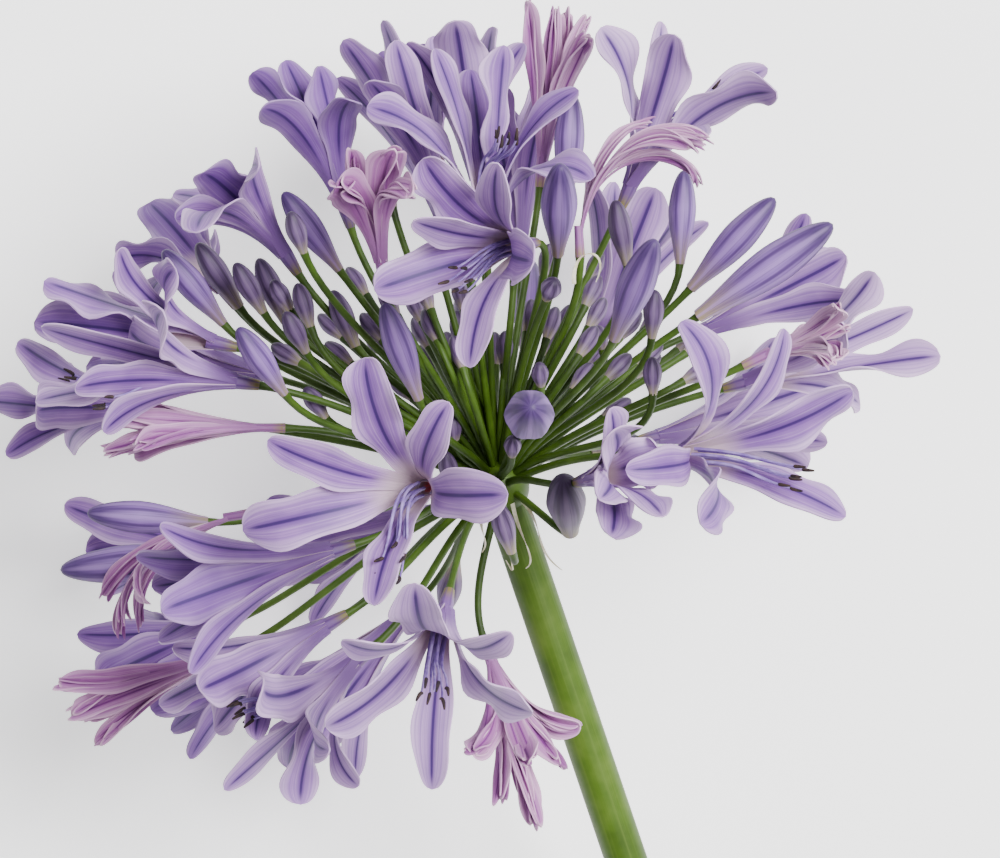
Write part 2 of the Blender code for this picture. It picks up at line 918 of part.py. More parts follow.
def fuse(name, solids, colour, solver="EXACT"):
    """One closed body from solids that run into each other."""
    group = bpy.data.collections.new(name + "_pieces")
    bpy.context.scene.collection.children.link(group)
    body = to_object(name, solids[0], colour)
    body_material = body.data.materials[0]
    for index, solid in enumerate(solids[1:]):
        piece = to_object(f"{name}_piece_{index}", solid)
        bpy.context.scene.collection.objects.unlink(piece)
        group.objects.link(piece)
    union = body.modifiers.new("union", "BOOLEAN")
    union.operation = "UNION"
    union.operand_type = "COLLECTION"
    union.collection = group
    union.solver = solver
    graph = bpy.context.evaluated_depsgraph_get()
    fused = bpy.data.meshes.new_from_object(body.evaluated_get(graph))
    body.modifiers.clear()
    body.data = fused
    for piece in list(group.objects):
        bpy.data.objects.remove(piece)
    bpy.data.collections.remove(group)
    bm = bmesh.new()
    bm.from_mesh(fused)
    bmesh.ops.remove_doubles(bm, verts=bm.verts, dist=WELD)
    bmesh.ops.triangulate(bm, faces=bm.faces)
    bm.to_mesh(fused)
    bm.free()
    fused.materials.clear()
    fused.materials.append(body_material)
    return body


def clear_scene():
    for obj in list(bpy.data.objects):
        bpy.data.objects.remove(obj)


def named(prefix, rows):
    return [(f"{prefix}_{number:02d}", row) for number, row in enumerate(rows, 1)]


def main():
    clear_scene()
    chance = random.Random(7)
    crowd = Crowd()
    for solid in stalk_solids():
        crowd.add("stalk", solid)

    blooms = []
    for name, row in named("bloom", OPEN_BLOOMS + FAR_BLOOMS) + named("faded_bloom", FADED_BLOOMS):
        form = settle(
            lambda shift, name=name, row=row: bloom_form(name, row, shift),
            lambda form: [tube(form, CLEAR)],
            crowd,
        )
        blooms.append(form)
    buds = []
    for name, row in named("bud", LARGE_BUDS):
        buds.append(
            settle(
                lambda shift, name=name, row=row: bud_form(name, row, shift),
                lambda form: [bud_solid(form, BUD_PROFILE, CLEAR)],
                crowd,
            )
        )
    small = []
    for row in SMALL_BUDS + FAR_BUDS:
        small.append(
            settle(
                lambda shift, row=row: bud_form("stalk", row, shift),
                lambda form: [bud_solid(form, SMALL_BUD_PROFILE, CLEAR)],
                crowd,
            )
        )

    stalk = stalk_solids()
    others = Crowd()
    for form in blooms + buds + small:
        curve = clear_pedicel(form, crowd, others)
        crowd.add("stalk", pedicel(curve, CLEAR, start=PEDICEL_BODY_FROM))
        stalk.append(pedicel(curve))
    for form in small:
        stalk.append(bud_solid(form, SMALL_BUD_PROFILE, sunk=BUD_SUNK))

    ways = bends()
    for form in blooms:
        faded = form.name.startswith("faded")
        form.tips = tepal_tips(form, chance)
        petals = clear_petals(form, crowd, ways)
        solids = [tube(form)]
        solids += [petal_solid(petal, form.row) for petal in petals]
        if form.row.anthers:
            for curve in stamen_curves(form):
                test = stamen(curve, CLEAR)
                if not crowd.hits([form.name], test):
                    crowd.add(form.name, test)
                    solids.append(stamen(curve))
        fuse(form.name, solids, FADED_PINK if faded else LAVENDER)
    for form in buds:
        to_object(form.name, bud_solid(form, BUD_PROFILE), BUD_PURPLE)
    fuse("stalk", stalk, STALK_GREEN, "MANIFOLD")


main()
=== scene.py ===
"""Agapanthus: the finished look of a cut stalk that lies with its round head of blooms and buds.

The layout, down to PETALS AND SKINS, puts every floret, flower stalk and tepal where the solid model has it.
Only the thin stalks of back_buds are added. A spot in the view straight down on the head is given in pixels
of the 1000 by 858 photograph, across and down, and heights are in mm above the hub.
"""

import math
import random
from dataclasses import dataclass, replace
from itertools import product
from types import SimpleNamespace

import bmesh
import bpy
from mathutils import Matrix, Quaternion, Vector
from mathutils.bvhtree import BVHTree


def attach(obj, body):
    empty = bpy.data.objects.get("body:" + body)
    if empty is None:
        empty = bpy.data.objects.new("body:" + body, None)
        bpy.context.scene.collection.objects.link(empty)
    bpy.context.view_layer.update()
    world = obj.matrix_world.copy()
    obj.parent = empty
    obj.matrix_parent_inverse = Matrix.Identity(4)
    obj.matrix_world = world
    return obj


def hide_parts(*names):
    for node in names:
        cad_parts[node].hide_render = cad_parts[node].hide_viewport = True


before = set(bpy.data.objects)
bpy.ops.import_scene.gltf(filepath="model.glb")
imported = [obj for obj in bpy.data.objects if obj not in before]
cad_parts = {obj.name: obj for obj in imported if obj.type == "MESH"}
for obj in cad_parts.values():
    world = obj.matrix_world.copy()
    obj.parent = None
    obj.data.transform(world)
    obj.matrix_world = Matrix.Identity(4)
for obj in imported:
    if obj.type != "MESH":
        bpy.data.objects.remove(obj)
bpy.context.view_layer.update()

MM = 0.001

# The view straight down: real size of a pixel at the hub, height of the eye and where it looks.
PIXEL = 0.22 * MM
VIEW_HEIGHT = 900 * MM
VIEW_PIXELS = 1000
VIEW_ACROSS = 500
VIEW_DOWN = 429
HUB_DOWN = 487
UP = Vector((0, 0, 1))

# The stalk lies from the hub down to its cut end on the surface.
HUB = Vector((0.12, 110.6, 85)) * MM
HUB_RADIUS = 6.5 * MM
STALK_RUN = Vector((0.319, -0.948, 0))
STALK_LENGTH = 355 * MM
STALK_RADIUS_TOP = 4.6 * MM
STALK_RADIUS_LOW = 5.3 * MM
STALK_SIDES = 10

# Flower stalks. Each sets off from inside the hub, a little up, and comes in straight behind its floret.
PEDICEL_RADIUS = 1.2 * MM
PEDICEL_THIN = 1.05 * MM
PEDICEL_COLLAR = 0.25 * MM
PEDICEL_SIDES = 3
PEDICEL_STEPS = 3
PEDICEL_UPWARD = 0.2
PEDICEL_FIRST_REACH = 0.42
PEDICEL_LAST_REACH = 0.3
PEDICEL_LAST_REACH_MOST = 16 * MM
PEDICEL_IN_HUB = 0.4
PEDICEL_APART_FROM = 0.35
PEDICEL_BODY_FROM = 0.15
SEAT_GAP = 0.3 * MM

# An open bloom: a tube that widens to the throat, and six tepals.
TUBE_LENGTH = 13 * MM
TUBE_RADIUS_LOW = 1.3 * MM
TUBE_RADIUS_THROAT = 3.0 * MM
TEPALS = 6
TEPAL_LENGTH = 33 * MM
TEPAL_HALF_WIDTH = (5.3 * MM, 4.2 * MM)
TEPAL_ROOT_RADIUS = 2.1 * MM
TEPAL_SUNK = 1.2 * MM
TEPAL_WIDEST = 0.62
TEPAL_TIP_STARTS = 0.7
TEPAL_WAIST = 1.3
TEPAL_STEPS_TOWARD_TIP = 1.3
TEPAL_APART_FROM = 0.1
TEPAL_START_SPREAD = 0.42
LIMP_START_SPREAD = 0.12
TEPAL_HANDLE = 0.36
TEPAL_TROUGH = 0.1
TEPAL_ROOT_CUP = 0.3
TEPAL_RUFFLE = 0.1
RUFFLE_WAVES = 9
RUFFLE_PHASE = 1.9
BLADE = 0.7 * MM
WHORL_STAGGER = 4
WHORL_CHANCE = 5

# What the fine tepals have besides: a groove along the midrib, waved edges, a twist and edges rolled in.
MIDRIB_GROOVE = 0.22 * MM
MIDRIB_WIDTH = 0.16
EDGE_WAVE = 0.12
EDGE_POWER = 3
EDGE_RISE = 2.5
EDGE_SHIFT = 2.1
TWIST_POWER = 1.5
ROLL_ROUND = 2.2

# Buds are spindles, widest past the middle: share of the length, then of the radius.
BUD_PROFILE = ((0, 0.32), (0.3, 0.74), (0.72, 1), (1, 0.26))
SMALL_BUD_PROFILE = ((0, 0.42), (0.6, 1), (1, 0.28))
BUD_RADIUS = 1.3 * MM
BUD_RADIUS_GROWTH = 0.08
FLORET_SIDES = 6

# Space kept between pieces that belong to different nodes, and between a piece and the surface.
CLEAR = 0.35 * MM
ABOVE_SURFACE = 1.3 * MM
WELD = 0.01 * MM
TINY = 0.5 * MM
NEARLY_UPRIGHT = 0.9

# Thin stalks behind the fan: how many, the fan in degrees, then reach, height and bud in pixels and mm.
BACK_BUDS = 64
BACK_FAN = (28, 152)
BACK_REACH = (120, 235)
BACK_HEIGHT = (-45, 25)
BACK_BUD = 34
BACK_BUD_DROP = 4
BACK_BUD_FAT = 0.9
SEED_BACK = 5
SEED_LAYOUT = 7

# How far a tepal may bend to miss its neighbours: along the view in mm, round its bloom and wider or closer
# in degrees, and to what share of its length.
LEANS = (0, 3, -3, 6, -6, 10, -10, 14, -14)
SWINGS = (0, 9, -9, 18, -18)
OPENINGS = (0, 8, -8, 16, -16)
SHORTER = (1, 0.85, 0.7)
# What counts as one step of each bend, and how many steps the whole length counts for.
LEAN_STEP = 3
SWING_STEP = 6
OPENING_STEP = 5
SHORTER_COST = 30
# How far a floret may move along the view, and a flower stalk bow, in mm.
SHIFTS = (0, 3, -3, 6, -6, 9, -9, 12, -12)
BOWS = (0, 4, -4, 8, -8, 12, -12)


@dataclass
class Bloom:
    """A bloom: its seat (across, down, height), then spots (across, down, lean toward the viewer)."""

    seat: tuple
    throat: tuple
    tips: tuple = ()
    splay: float = 28
    roll: float = 0
    anthers: tuple = ()
    width: float = 1.0
    length: float = 1.0
    limp: bool = False
    rests: bool = False
    near: bool = False

    @property
    def steps(self):
        """Rows of faces along each tepal of the solid."""
        return 5 if self.rests else 4 if self.near else 3


@dataclass
class Bud:
    """A bud between two places (across, down, height); fat widens it."""

    seat: tuple
    tip: tuple
    fat: float = 1.0


OPEN_BLOOMS = [
    Bloom((437, 484, 58), (412, 492, 1), anthers=(392, 565, 0.6), near=True, tips=(
        (365, 357, 0.6), (449, 402, 0.6), (508, 494, 0.9),
        (374, 606, 0.7), (243, 530, 0.4), (268, 440, 0.5))),
    Bloom((449, 592, 52), (438, 640, 1), anthers=(434, 692, 1), near=True, tips=(
        (415, 583, 0.9), (511, 632, 0.8), (533, 712, 0.5),
        (432, 790, 0.2), (325, 727, 0.4), (342, 640, 0.6))),
    Bloom((535, 243, 40), (505, 248, 1), anthers=(458, 282, 0.8), near=True, tips=(
        (423, 158, 0.5), (498, 163, 0.9), (534, 262, 1),
        (470, 368, 0.6), (374, 290, 0.5), (414, 222, 0.6))),
    Bloom((655, 455, 32), (697, 456, 0.6), anthers=(795, 478, 0.5), near=True, tips=(
        (680, 322, 0.6), (784, 328, 0.4), (853, 390, 0.2),
        (846, 517, 0.3), (700, 524, 0.9), (625, 470, 0.8))),
    Bloom((487, 250, 22), (485, 193, 0.3), anthers=(507, 140, 0.5), tips=(
        (504, 45, 0.4), (579, 90, 0.3), (591, 180, 0.5),
        (470, 70, -0.9), (367, 107, 0.2), (415, 57, 0.3))),
    Bloom((257, 385, 25), (200, 375, 0.3), anthers=(110, 395, 0.4), tips=(
        (163, 310, 0.9), (41, 327, 0.4), (35, 402, 0.2),
        (103, 432, 0.3), (130, 330, -0.6), (75, 395, 0.6))),
    Bloom((235, 347, 10), (172, 333, 0.2), tips=(
        (42, 281, 0.4), (119, 249, 0.5), (146, 266, 0.6),
        (80, 300, -0.8), (29, 321, 0.2), (60, 355, 0.7))),
    Bloom((175, 415, -10), (118, 405, 0.1), anthers=(70, 385, 0.3), tips=(
        (17, 342, 0.2), (60, 375, -0.8), (-20, 400, 0.1), (0, 440, 0), (36, 411, 0.7), (70, 450, -0.6))),
    Bloom((622, 205, 5), (645, 152, 0.2), anthers=(728, 90, 0.3), tips=(
        (600, 28, 0.1), (627, 23, -0.3), (674, 36, 0.4),
        (768, 68, 0.3), (772, 97, 0.4), (700, 140, 0.9))),
    Bloom((725, 388, -5), (782, 372, 0.1), tips=(
        (875, 272, 0.2), (916, 308, 0.2), (941, 356, 0.1),
        (840, 320, 0.8), (860, 405, -0.4), (850, 360, -0.9))),
    Bloom((578, 482, 40), (606, 474, 0.8), tips=(
        (614, 430, 0.85), (645, 425, 0.8), (672, 445, 0.9),
        (670, 500, 0.8), (640, 512, 0.85), (600, 500, 0.9))),
    Bloom((480, 200, -10), (474, 142, 0), splay=22, roll=20, length=0.8, anthers=(458, 57, 0.1)),
    Bloom((450, 215, -5), (428, 160, 0), tips=(
        (343, 40, 0.2), (395, 40, 0.5), (404, 15, -0.2),
        (370, 82, 0.5), (380, 60, -0.8), (430, 50, -0.6))),
    Bloom((350, 225, 5), (336, 176, 0.4), tips=(
        (252, 72, 0.5), (285, 60, -0.3), (318, 66, 0.3),
        (350, 100, 0.8), (300, 100, -0.9), (262, 108, 1))),
    Bloom((235, 305, -25), (205, 262, -0.4), tips=(
        (149, 203, -0.6), (131, 229, -0.7), (132, 258, -0.6),
        (165, 205, -0.9), (175, 245, -1), (160, 275, -0.9))),
    Bloom((297, 272, 10), (266, 224, 0.4), tips=(
        (203, 172, 0.6), (218, 176, -0.5), (190, 190, -0.7),
        (177, 206, 0.2), (190, 216, 0.9), (222, 190, 1))),
    Bloom((352, 545, 38), (300, 560, 0.4), splay=28, roll=20),
    Bloom((345, 615, 25), (292, 645, 0.2), tips=(
        (159, 705, 0.1), (172, 648, 0.2), (200, 690, 0.8),
        (190, 650, -0.8), (215, 730, -0.5), (255, 740, 0.6))),
    Bloom((240, 618, -20), (200, 632, -0.8), splay=14, roll=0, length=0.86),
    Bloom((372, 648, 30), (328, 685, 0.3), anthers=(240, 712, 0.5), tips=(
        (262, 690, 0.7), (224, 790, 0.3), (300, 805, 0.2),
        (345, 790, 0.2), (290, 770, -0.7), (330, 750, 0.9))),
    Bloom((690, 335, -25), (742, 314, -0.3), splay=20, roll=0, length=0.82),
    Bloom((585, 370, -50), (605, 318, -0.6), splay=25, roll=30),
    Bloom((240, 552, -35), (203, 549, -0.8), splay=15, roll=0),
]

FADED_BLOOMS = [
    Bloom((385, 283, 38), (375, 226, 0.3), width=0.9, tips=(
        (337, 186, 0.5), (350, 148, 0.2), (397, 152, 0.5),
        (413, 196, 0.8), (362, 175, -0.5), (390, 165, -0.6))),
    Bloom((580, 255, 30), (577, 196, 0.2), width=0.4, length=1.1, limp=True, tips=(
        (707, 140, 0.2), (700, 128, 0), (690, 150, 0.4), (655, 118, 0.2), (700, 148, -0.3))),
    Bloom((540, 185, -15), (546, 128, 0), width=0.6, length=0.9, tips=(
        (526, 0, 0.2), (550, 8, 0.4), (568, 10, 0), (586, 14, 0.3), (590, 38, 0.6), (560, 20, -0.4))),
    Bloom((283, 428, 15), (226, 427, 0.2), width=0.7, limp=True, tips=(
        (108, 420, 0.2), (100, 452, 0.3), (120, 405, 0), (135, 445, 0.6), (125, 430, -0.5))),
    Bloom((745, 365, 10), (795, 340, 0.2), width=0.5, length=0.8, tips=(
        (838, 310, 0.8), (845, 330, 0.3), (852, 348, 0.6), (832, 365, 0.4), (840, 335, -0.4))),
    Bloom((235, 650, 0), (190, 667, -0.4), splay=11, roll=0, width=0.7, length=0.82),
    Bloom((484, 640, 8), (503, 693, 0.4), width=0.7, length=0.9, tips=(
        (470, 752, 0.5), (500, 800, 0.3), (537, 825, 0.2),
        (562, 765, 0.3), (582, 732, 0.4), (515, 765, 0.9))),
    Bloom((252, 513, 20), (196, 522, 0.1), width=0.4, limp=True, tips=(
        (118, 636, 0.1), (128, 625, 0.3), (150, 600, 0.4), (140, 628, -0.2), (110, 610, 0))),
]

LARGE_BUDS = [
    Bud((558, 252, 25), (560, 165, 50)),
    Bud((566, 200, -5), (572, 92, -5)),
    Bud((680, 262, -5), (684, 170, -5)),
    Bud((615, 337, 40), (655, 240, 60)),
    Bud((692, 287, 5), (775, 198, 10)),
    Bud((700, 315, 15), (833, 224, 25)),
    Bud((527, 425, 42), (531, 407, 72), fat=1.35),
    Bud((418, 397, 30), (384, 303, 40)),
    Bud((283, 392, 30), (238, 328, 40)),
    Bud((222, 322, 5), (163, 250, 10)),
    Bud((338, 268, 20), (283, 192, 25)),
    Bud((205, 522, 10), (87, 513, 15)),
    Bud((213, 556, 5), (60, 570, 10)),
    Bud((526, 352, -30), (530, 260, -50)),
]

SMALL_BUDS = [
    Bud((627, 262, 15), (615, 200, 20)),
    Bud((653, 392, 35), (652, 357, 38)),
    Bud((652, 335, 25), (655, 290, 30)),
    Bud((541, 385, 30), (539, 363, 34)),
    Bud((512, 455, 25), (513, 437, 30)),
    Bud((570, 530, 20), (563, 478, 40), fat=1.3),
    Bud((511, 550, 38), (497, 503, 45)),
    Bud((452, 485, 20), (445, 452, 25)),
    Bud((238, 305, 0), (197, 243, 5)),
    Bud((262, 310, 10), (235, 263, 15)),
    Bud((285, 320, 5), (258, 258, 5)),
    Bud((290, 310, 15), (272, 280, 15)),
    Bud((310, 325, 20), (297, 283, 20)),
    Bud((355, 345, 10), (332, 290, 10)),
    Bud((324, 415, 15), (305, 388, 20)),
    Bud((305, 350, 25), (285, 312, 30)),
    Bud((303, 250, 40), (290, 212, 45)),
    Bud((547, 297, 34), (555, 280, 39), fat=1.2),
    Bud((603, 350, -10), (597, 325, -10)),
    Bud((460, 345, -5), (457, 310, -5)),
    Bud((392, 205, -5), (378, 150, -5)),
    Bud((455, 440, 10), (452, 415, 12)),
]

# The far side of the head, hidden behind the near blooms in that view. Two blooms rest on the surface.
FAR_BLOOMS = [
    Bloom((442, 507, -62), (394, 522, -0.85), splay=27, roll=0, rests=True),
    Bloom((640, 440, -59), (688, 430, -0.9), splay=27, roll=0, rests=True),
    Bloom((420, 600, -46), (385, 637, -0.2), splay=24, roll=0),
    Bloom((520, 275, -44), (517, 222, -0.3), splay=22, roll=0),
    Bloom((275, 378, -38), (222, 364, -0.3), splay=22, roll=20),
    Bloom((450, 240, -36), (434, 188, -0.1), splay=19, roll=0),
    Bloom((330, 622, -38), (278, 645, -0.1), splay=20, roll=20),
]

FAR_BUDS = [
    Bud((470, 360, -50), (463, 290, -66)),
    Bud((590, 452, -55), (640, 440, -68)),
    Bud((400, 430, -52), (350, 405, -66)),
    Bud((455, 560, -52), (445, 610, -66)),
]


def place(across, down, height=0.0):
    """The point that the view shows at a pixel, at a height in mm above the hub."""
    size = PIXEL * (1 - height * MM / VIEW_HEIGHT)
    x = (across - VIEW_ACROSS) * size
    y = (VIEW_DOWN - down) * size + (HUB_DOWN - VIEW_DOWN) * PIXEL
    return HUB + Vector((x, y, height * MM))


def reach(start, spot, length):
    """The point seen at a spot that lies a length from start; the spot's third value leans it to the eye."""
    across, down, lean = spot
    level = (start.z - HUB.z) / MM
    short = (place(across, down, level) - start).length
    rise = lean * math.sqrt(max(length**2 - short**2, 0))
    return place(across, down, level + rise / MM)


def any_across(axis):
    """A direction square to the axis, the same one for the same axis."""
    other = UP if abs(axis.z) < NEARLY_UPRIGHT else Vector((0, 1, 0))
    return axis.cross(other).normalized()


def curve_point(curve, t):
    a, b, c, d = curve
    u = 1 - t
    return a * u**3 + b * (3 * u * u * t) + c * (3 * u * t * t) + d * t**3


def curve_heading(curve, t):
    a, b, c, d = curve
    u = 1 - t
    return ((b - a) * (u * u) + (c - b) * (2 * u * t) + (d - c) * (t * t)).normalized()


def turned(side, other, angle):
    """The direction at an angle round the line that side and other stand square to."""
    return side * math.cos(angle) + other * math.sin(angle)


def swept(rings, sides):
    """A closed body skinned over a chain of rings (centre, heading, radius)."""
    bm = bmesh.new()
    side = any_across(rings[0][1])
    loops = []
    for centre, heading, radius in rings:
        side = (side - heading * side.dot(heading)).normalized()
        spokes = [turned(heading.cross(side), -side, math.tau * index / sides) for index in range(sides)]
        loops.append([bm.verts.new(centre + spoke * radius) for spoke in spokes])
    for near, far in zip(loops, loops[1:]):
        for index in range(sides):
            bm.faces.new((near[index - 1], near[index], far[index], far[index - 1]))
    bm.faces.new(loops[0])
    bm.faces.new(loops[-1])
    bmesh.ops.triangulate(bm, faces=bm.faces)
    return bm


def bounds(bm):
    """The lowest and the highest corner of a body's box."""
    axes = list(zip(*(vert.co for vert in bm.verts)))
    return [min(axis) for axis in axes], [max(axis) for axis in axes]


class Crowd:
    """The pieces placed so far, each with its owner, to keep different nodes apart."""

    def __init__(self):
        self.pieces = []

    def add(self, owner, bm):
        self.pieces.append((owner, BVHTree.FromBMesh(bm), *bounds(bm)))

    def hits(self, owners, bm):
        """Whether a piece crosses any that isn't one of its owners' own."""
        tree = BVHTree.FromBMesh(bm)
        low, high = bounds(bm)
        for other, other_tree, other_low, other_high in self.pieces:
            if other in owners:
                continue
            if any(low[i] > other_high[i] or high[i] < other_low[i] for i in range(3)):
                continue
            if tree.overlap(other_tree):
                return True
        return False


@dataclass
class Form:
    """A floret settled in space: where it sits, which way it faces and its tepal tips."""

    name: str
    seat: Vector
    axis: Vector
    row: object
    tips: tuple = ()

    @property
    def throat(self):
        return self.seat + self.axis * TUBE_LENGTH


def bloom_form(name, row, shift=0.0):
    across, down, height = row.seat
    seat = place(across, down, height + shift)
    axis = (reach(seat, row.throat, TUBE_LENGTH) - seat).normalized()
    return Form(name, seat, axis, row)


def bud_form(name, row, shift=0.0):
    seat = place(*row.seat[:2], row.seat[2] + shift)
    tip = place(*row.tip[:2], row.tip[2] + shift)
    return Form(name, seat, (tip - seat).normalized(), row, (tip,))


def tepal_tips(form, chance):
    """Tips from their spots in the view, or spread evenly round the axis."""
    row = form.row
    length = TEPAL_LENGTH * row.length
    if row.tips:
        return tuple(reach(form.throat, spot, length) for spot in row.tips)
    side = any_across(form.axis)
    tips = []
    for index in range(TEPALS):
        round_axis = Quaternion(form.axis, math.radians(row.roll + 360 / TEPALS * index))
        outward = round_axis @ side
        stagger = WHORL_STAGGER if index % 2 else -WHORL_STAGGER
        splay = math.radians(row.splay + stagger + chance.uniform(-WHORL_CHANCE, WHORL_CHANCE))
        tips.append(form.throat + (form.axis * math.cos(splay) + outward * math.sin(splay)) * length)
    return tuple(tips)


def tube_solid(form):
    """The tube, thick enough to keep others clear of it."""
    start = form.seat + form.axis * (SEAT_GAP - CLEAR)
    end = form.throat + form.axis * CLEAR
    rings = [(start, form.axis, TUBE_RADIUS_LOW + CLEAR), (end, form.axis, TUBE_RADIUS_THROAT + CLEAR)]
    return swept(rings, FLORET_SIDES)


def bud_line(form, gap):
    """Where a bud starts, its run to the tip and its radius, which grows with its length."""
    start = form.seat + form.axis * gap
    run = form.tips[0] - start
    return start, run, (BUD_RADIUS + BUD_RADIUS_GROWTH * run.length) * form.row.fat


def bud_solid(form):
    """A spindle from the seat to the tip, with room round it."""
    start, run, radius = bud_line(form, SEAT_GAP)
    profile = SMALL_BUD_PROFILE if form.name == "stalk" else BUD_PROFILE
    rings = [(start + run * along, form.axis, radius * share + CLEAR) for along, share in profile]
    return swept(rings, FLORET_SIDES)


def pedicel_curve(seat, axis, bow=Vector()):
    """Leaves the hub a little toward the top of the stalk's line and arrives along the floret's axis."""
    run = seat - HUB
    start = (run.normalized() - STALK_DIRECTION * PEDICEL_UPWARD).normalized()
    last = min(run.length * PEDICEL_LAST_REACH, PEDICEL_LAST_REACH_MOST)
    return (
        HUB + start * HUB_RADIUS * PEDICEL_IN_HUB,
        HUB + start * run.length * PEDICEL_FIRST_REACH + bow,
        seat - axis * last + bow,
        seat,
    )


def pedicel_radius(share):
    return PEDICEL_RADIUS + (PEDICEL_THIN - PEDICEL_RADIUS) * share


def pedicel(curve, spare=0.0, start=0.0):
    """A flower stalk from a share of its way on, with a small collar under the floret."""
    rings = []
    for step in range(PEDICEL_STEPS + 1):
        t = start + (1 - start) * step / PEDICEL_STEPS
        rings.append((curve_point(curve, t), curve_heading(curve, t), pedicel_radius(t) + spare))
    rings[-1] = (curve[3], (curve[3] - curve[2]).normalized(), rings[-1][2] + PEDICEL_COLLAR)
    return swept(rings, PEDICEL_SIDES)


@dataclass
class Petal:
    """A tepal's middle line, the way its width runs, its half width and how its sheet bends."""

    curve: tuple
    side: Vector
    half_width: float
    cup: float
    ruffle: float
    phase: float


@dataclass
class Finish:
    """What makes one tepal its own: foot, waist and tip, waved edges, a twist in radians, edges rolled in."""

    root: float = 0.0
    waist: float = TEPAL_WAIST
    tip: float = 2.0
    ruffle: float = 0.0
    waves: float = 0.0
    twist: float = 0.0
    roll: float = 0.0
    phase: float = 0.0


PLAIN = Finish()


def petal_to(form, tip, index):
    """The tepal that leaves the throat nearly along the tube and curves out to a tip."""
    row = form.row
    chord = tip - form.throat
    outward = chord - form.axis * chord.dot(form.axis)
    outward = outward.normalized() if outward.length > TINY else any_across(form.axis)
    root = form.throat - form.axis * TEPAL_SUNK + outward * TEPAL_ROOT_RADIUS
    line = (tip - root).normalized()
    spread = LIMP_START_SPREAD if row.limp else TEPAL_START_SPREAD
    start = (form.axis * (1 - spread) + line * spread).normalized()
    end = 2 * line.dot(start) * line - start
    handle = (tip - root).length * TEPAL_HANDLE
    curve = (root, root + start * handle, tip - end * handle, tip)
    half_width = TEPAL_HALF_WIDTH[index % 2] * row.width
    cup, ruffle = (TEPAL_ROOT_CUP, TEPAL_RUFFLE) if index % 2 == 0 else (0, 0)
    return Petal(curve, form.axis.cross(outward), half_width, cup, ruffle, index * RUFFLE_PHASE)


def petal_width(along, finish):
    """Share of the full half width: widest past the middle, with the foot, waist and tip of the finish."""
    past = max(along - TEPAL_TIP_STARTS, 0) / (1 - TEPAL_TIP_STARTS)
    grown = math.sin(math.pi / 2 * min(along / TEPAL_WIDEST, 1)) ** finish.waist
    return (finish.root + (1 - finish.root) * grown) * math.sqrt(max(1 - past**finish.tip, 0))


def petal_point(petal, along, across, lift, finish=PLAIN):
    """A point of the tepal's sheet: across runs from -1 to 1, lift is along the inner face's normal."""
    heading = curve_heading(petal.curve, along)
    inner = heading.cross(petal.side).normalized()
    side = inner.cross(heading).normalized()
    if finish.twist:
        turn = Quaternion(heading, finish.twist * along**TWIST_POWER)
        inner, side = turn @ inner, turn @ side
    half = petal.half_width * petal_width(along, finish)
    wave = petal.ruffle * math.sin(RUFFLE_WAVES * along + petal.phase)
    cup = TEPAL_TROUGH + petal.cup * (1 - along) ** 2 + wave + finish.roll
    lift += half * cup * across**2
    spread = across
    if finish.waves:
        flutter = math.sin(finish.waves * along + finish.phase + (EDGE_SHIFT if across > 0 else 0))
        edge = abs(across) ** EDGE_POWER * finish.ruffle * flutter * min(along * EDGE_RISE, 1)
        groove = MIDRIB_GROOVE * math.exp(-((across / MIDRIB_WIDTH) ** 2)) * math.sin(math.pi * along)
        lift += half * edge - groove
        spread *= 1 + EDGE_WAVE * flutter * abs(across)
    if finish.roll:
        bend = finish.roll * ROLL_ROUND
        spread, lift = math.sin(spread * bend) / bend, half * (1 - math.cos(spread * bend)) / bend
    return curve_point(petal.curve, along) + side * (half * spread) + inner * lift


def petal_solid(petal, row, spare=0.0, start=0.0):
    """The tepal from a share of its length on, with some room round it."""
    bm = bmesh.new()
    thickness = BLADE + 2 * spare
    bmesh.ops.create_grid(bm, x_segments=2, y_segments=row.steps, size=0.5)
    for vert in bm.verts:
        along = 1 - (1 - start) * (0.5 - vert.co.y) ** TEPAL_STEPS_TOWARD_TIP
        vert.co = petal_point(petal, along, 2 * vert.co.x, -thickness / 2)
    bmesh.ops.remove_doubles(bm, verts=bm.verts, dist=WELD)
    bmesh.ops.triangulate(bm, faces=bm.faces)
    bm.normal_update()
    bmesh.ops.solidify(bm, geom=bm.faces, thickness=thickness)
    return bm


def bends():
    """Every way to bend a tepal, the least first."""
    ways = []
    for lean, swing, opening, shorter in product(LEANS, SWINGS, OPENINGS, SHORTER):
        cost = abs(lean) / LEAN_STEP + abs(swing) / SWING_STEP + abs(opening) / OPENING_STEP
        ways.append((cost + (1 - shorter) * SHORTER_COST, lean, swing, opening, shorter))
    return sorted(ways)


def bent_tip(form, tip, lean, swing, opening, shorter):
    """Where a tepal's tip goes when it is bent."""
    chord = tip - form.throat
    outward = chord - form.axis * chord.dot(form.axis)
    if outward.length > TINY:
        chord = Quaternion(form.axis.cross(outward).normalized(), math.radians(opening)) @ chord
    chord = Quaternion(form.axis, math.radians(swing)) @ chord
    return form.throat + chord * shorter + UP * (lean * MM)


def settle(rows, make_form, make_solid, crowd):
    """Each floret moved up or down along the view, as little as keeps its body clear."""
    forms = []
    for name, row in rows:
        for shift in (*SHIFTS, 0):
            form = make_form(name, row, shift)
            solid = make_solid(form)
            if not crowd.hits([name], solid):
                break
        crowd.add(name, solid)
        forms.append(form)
    return forms


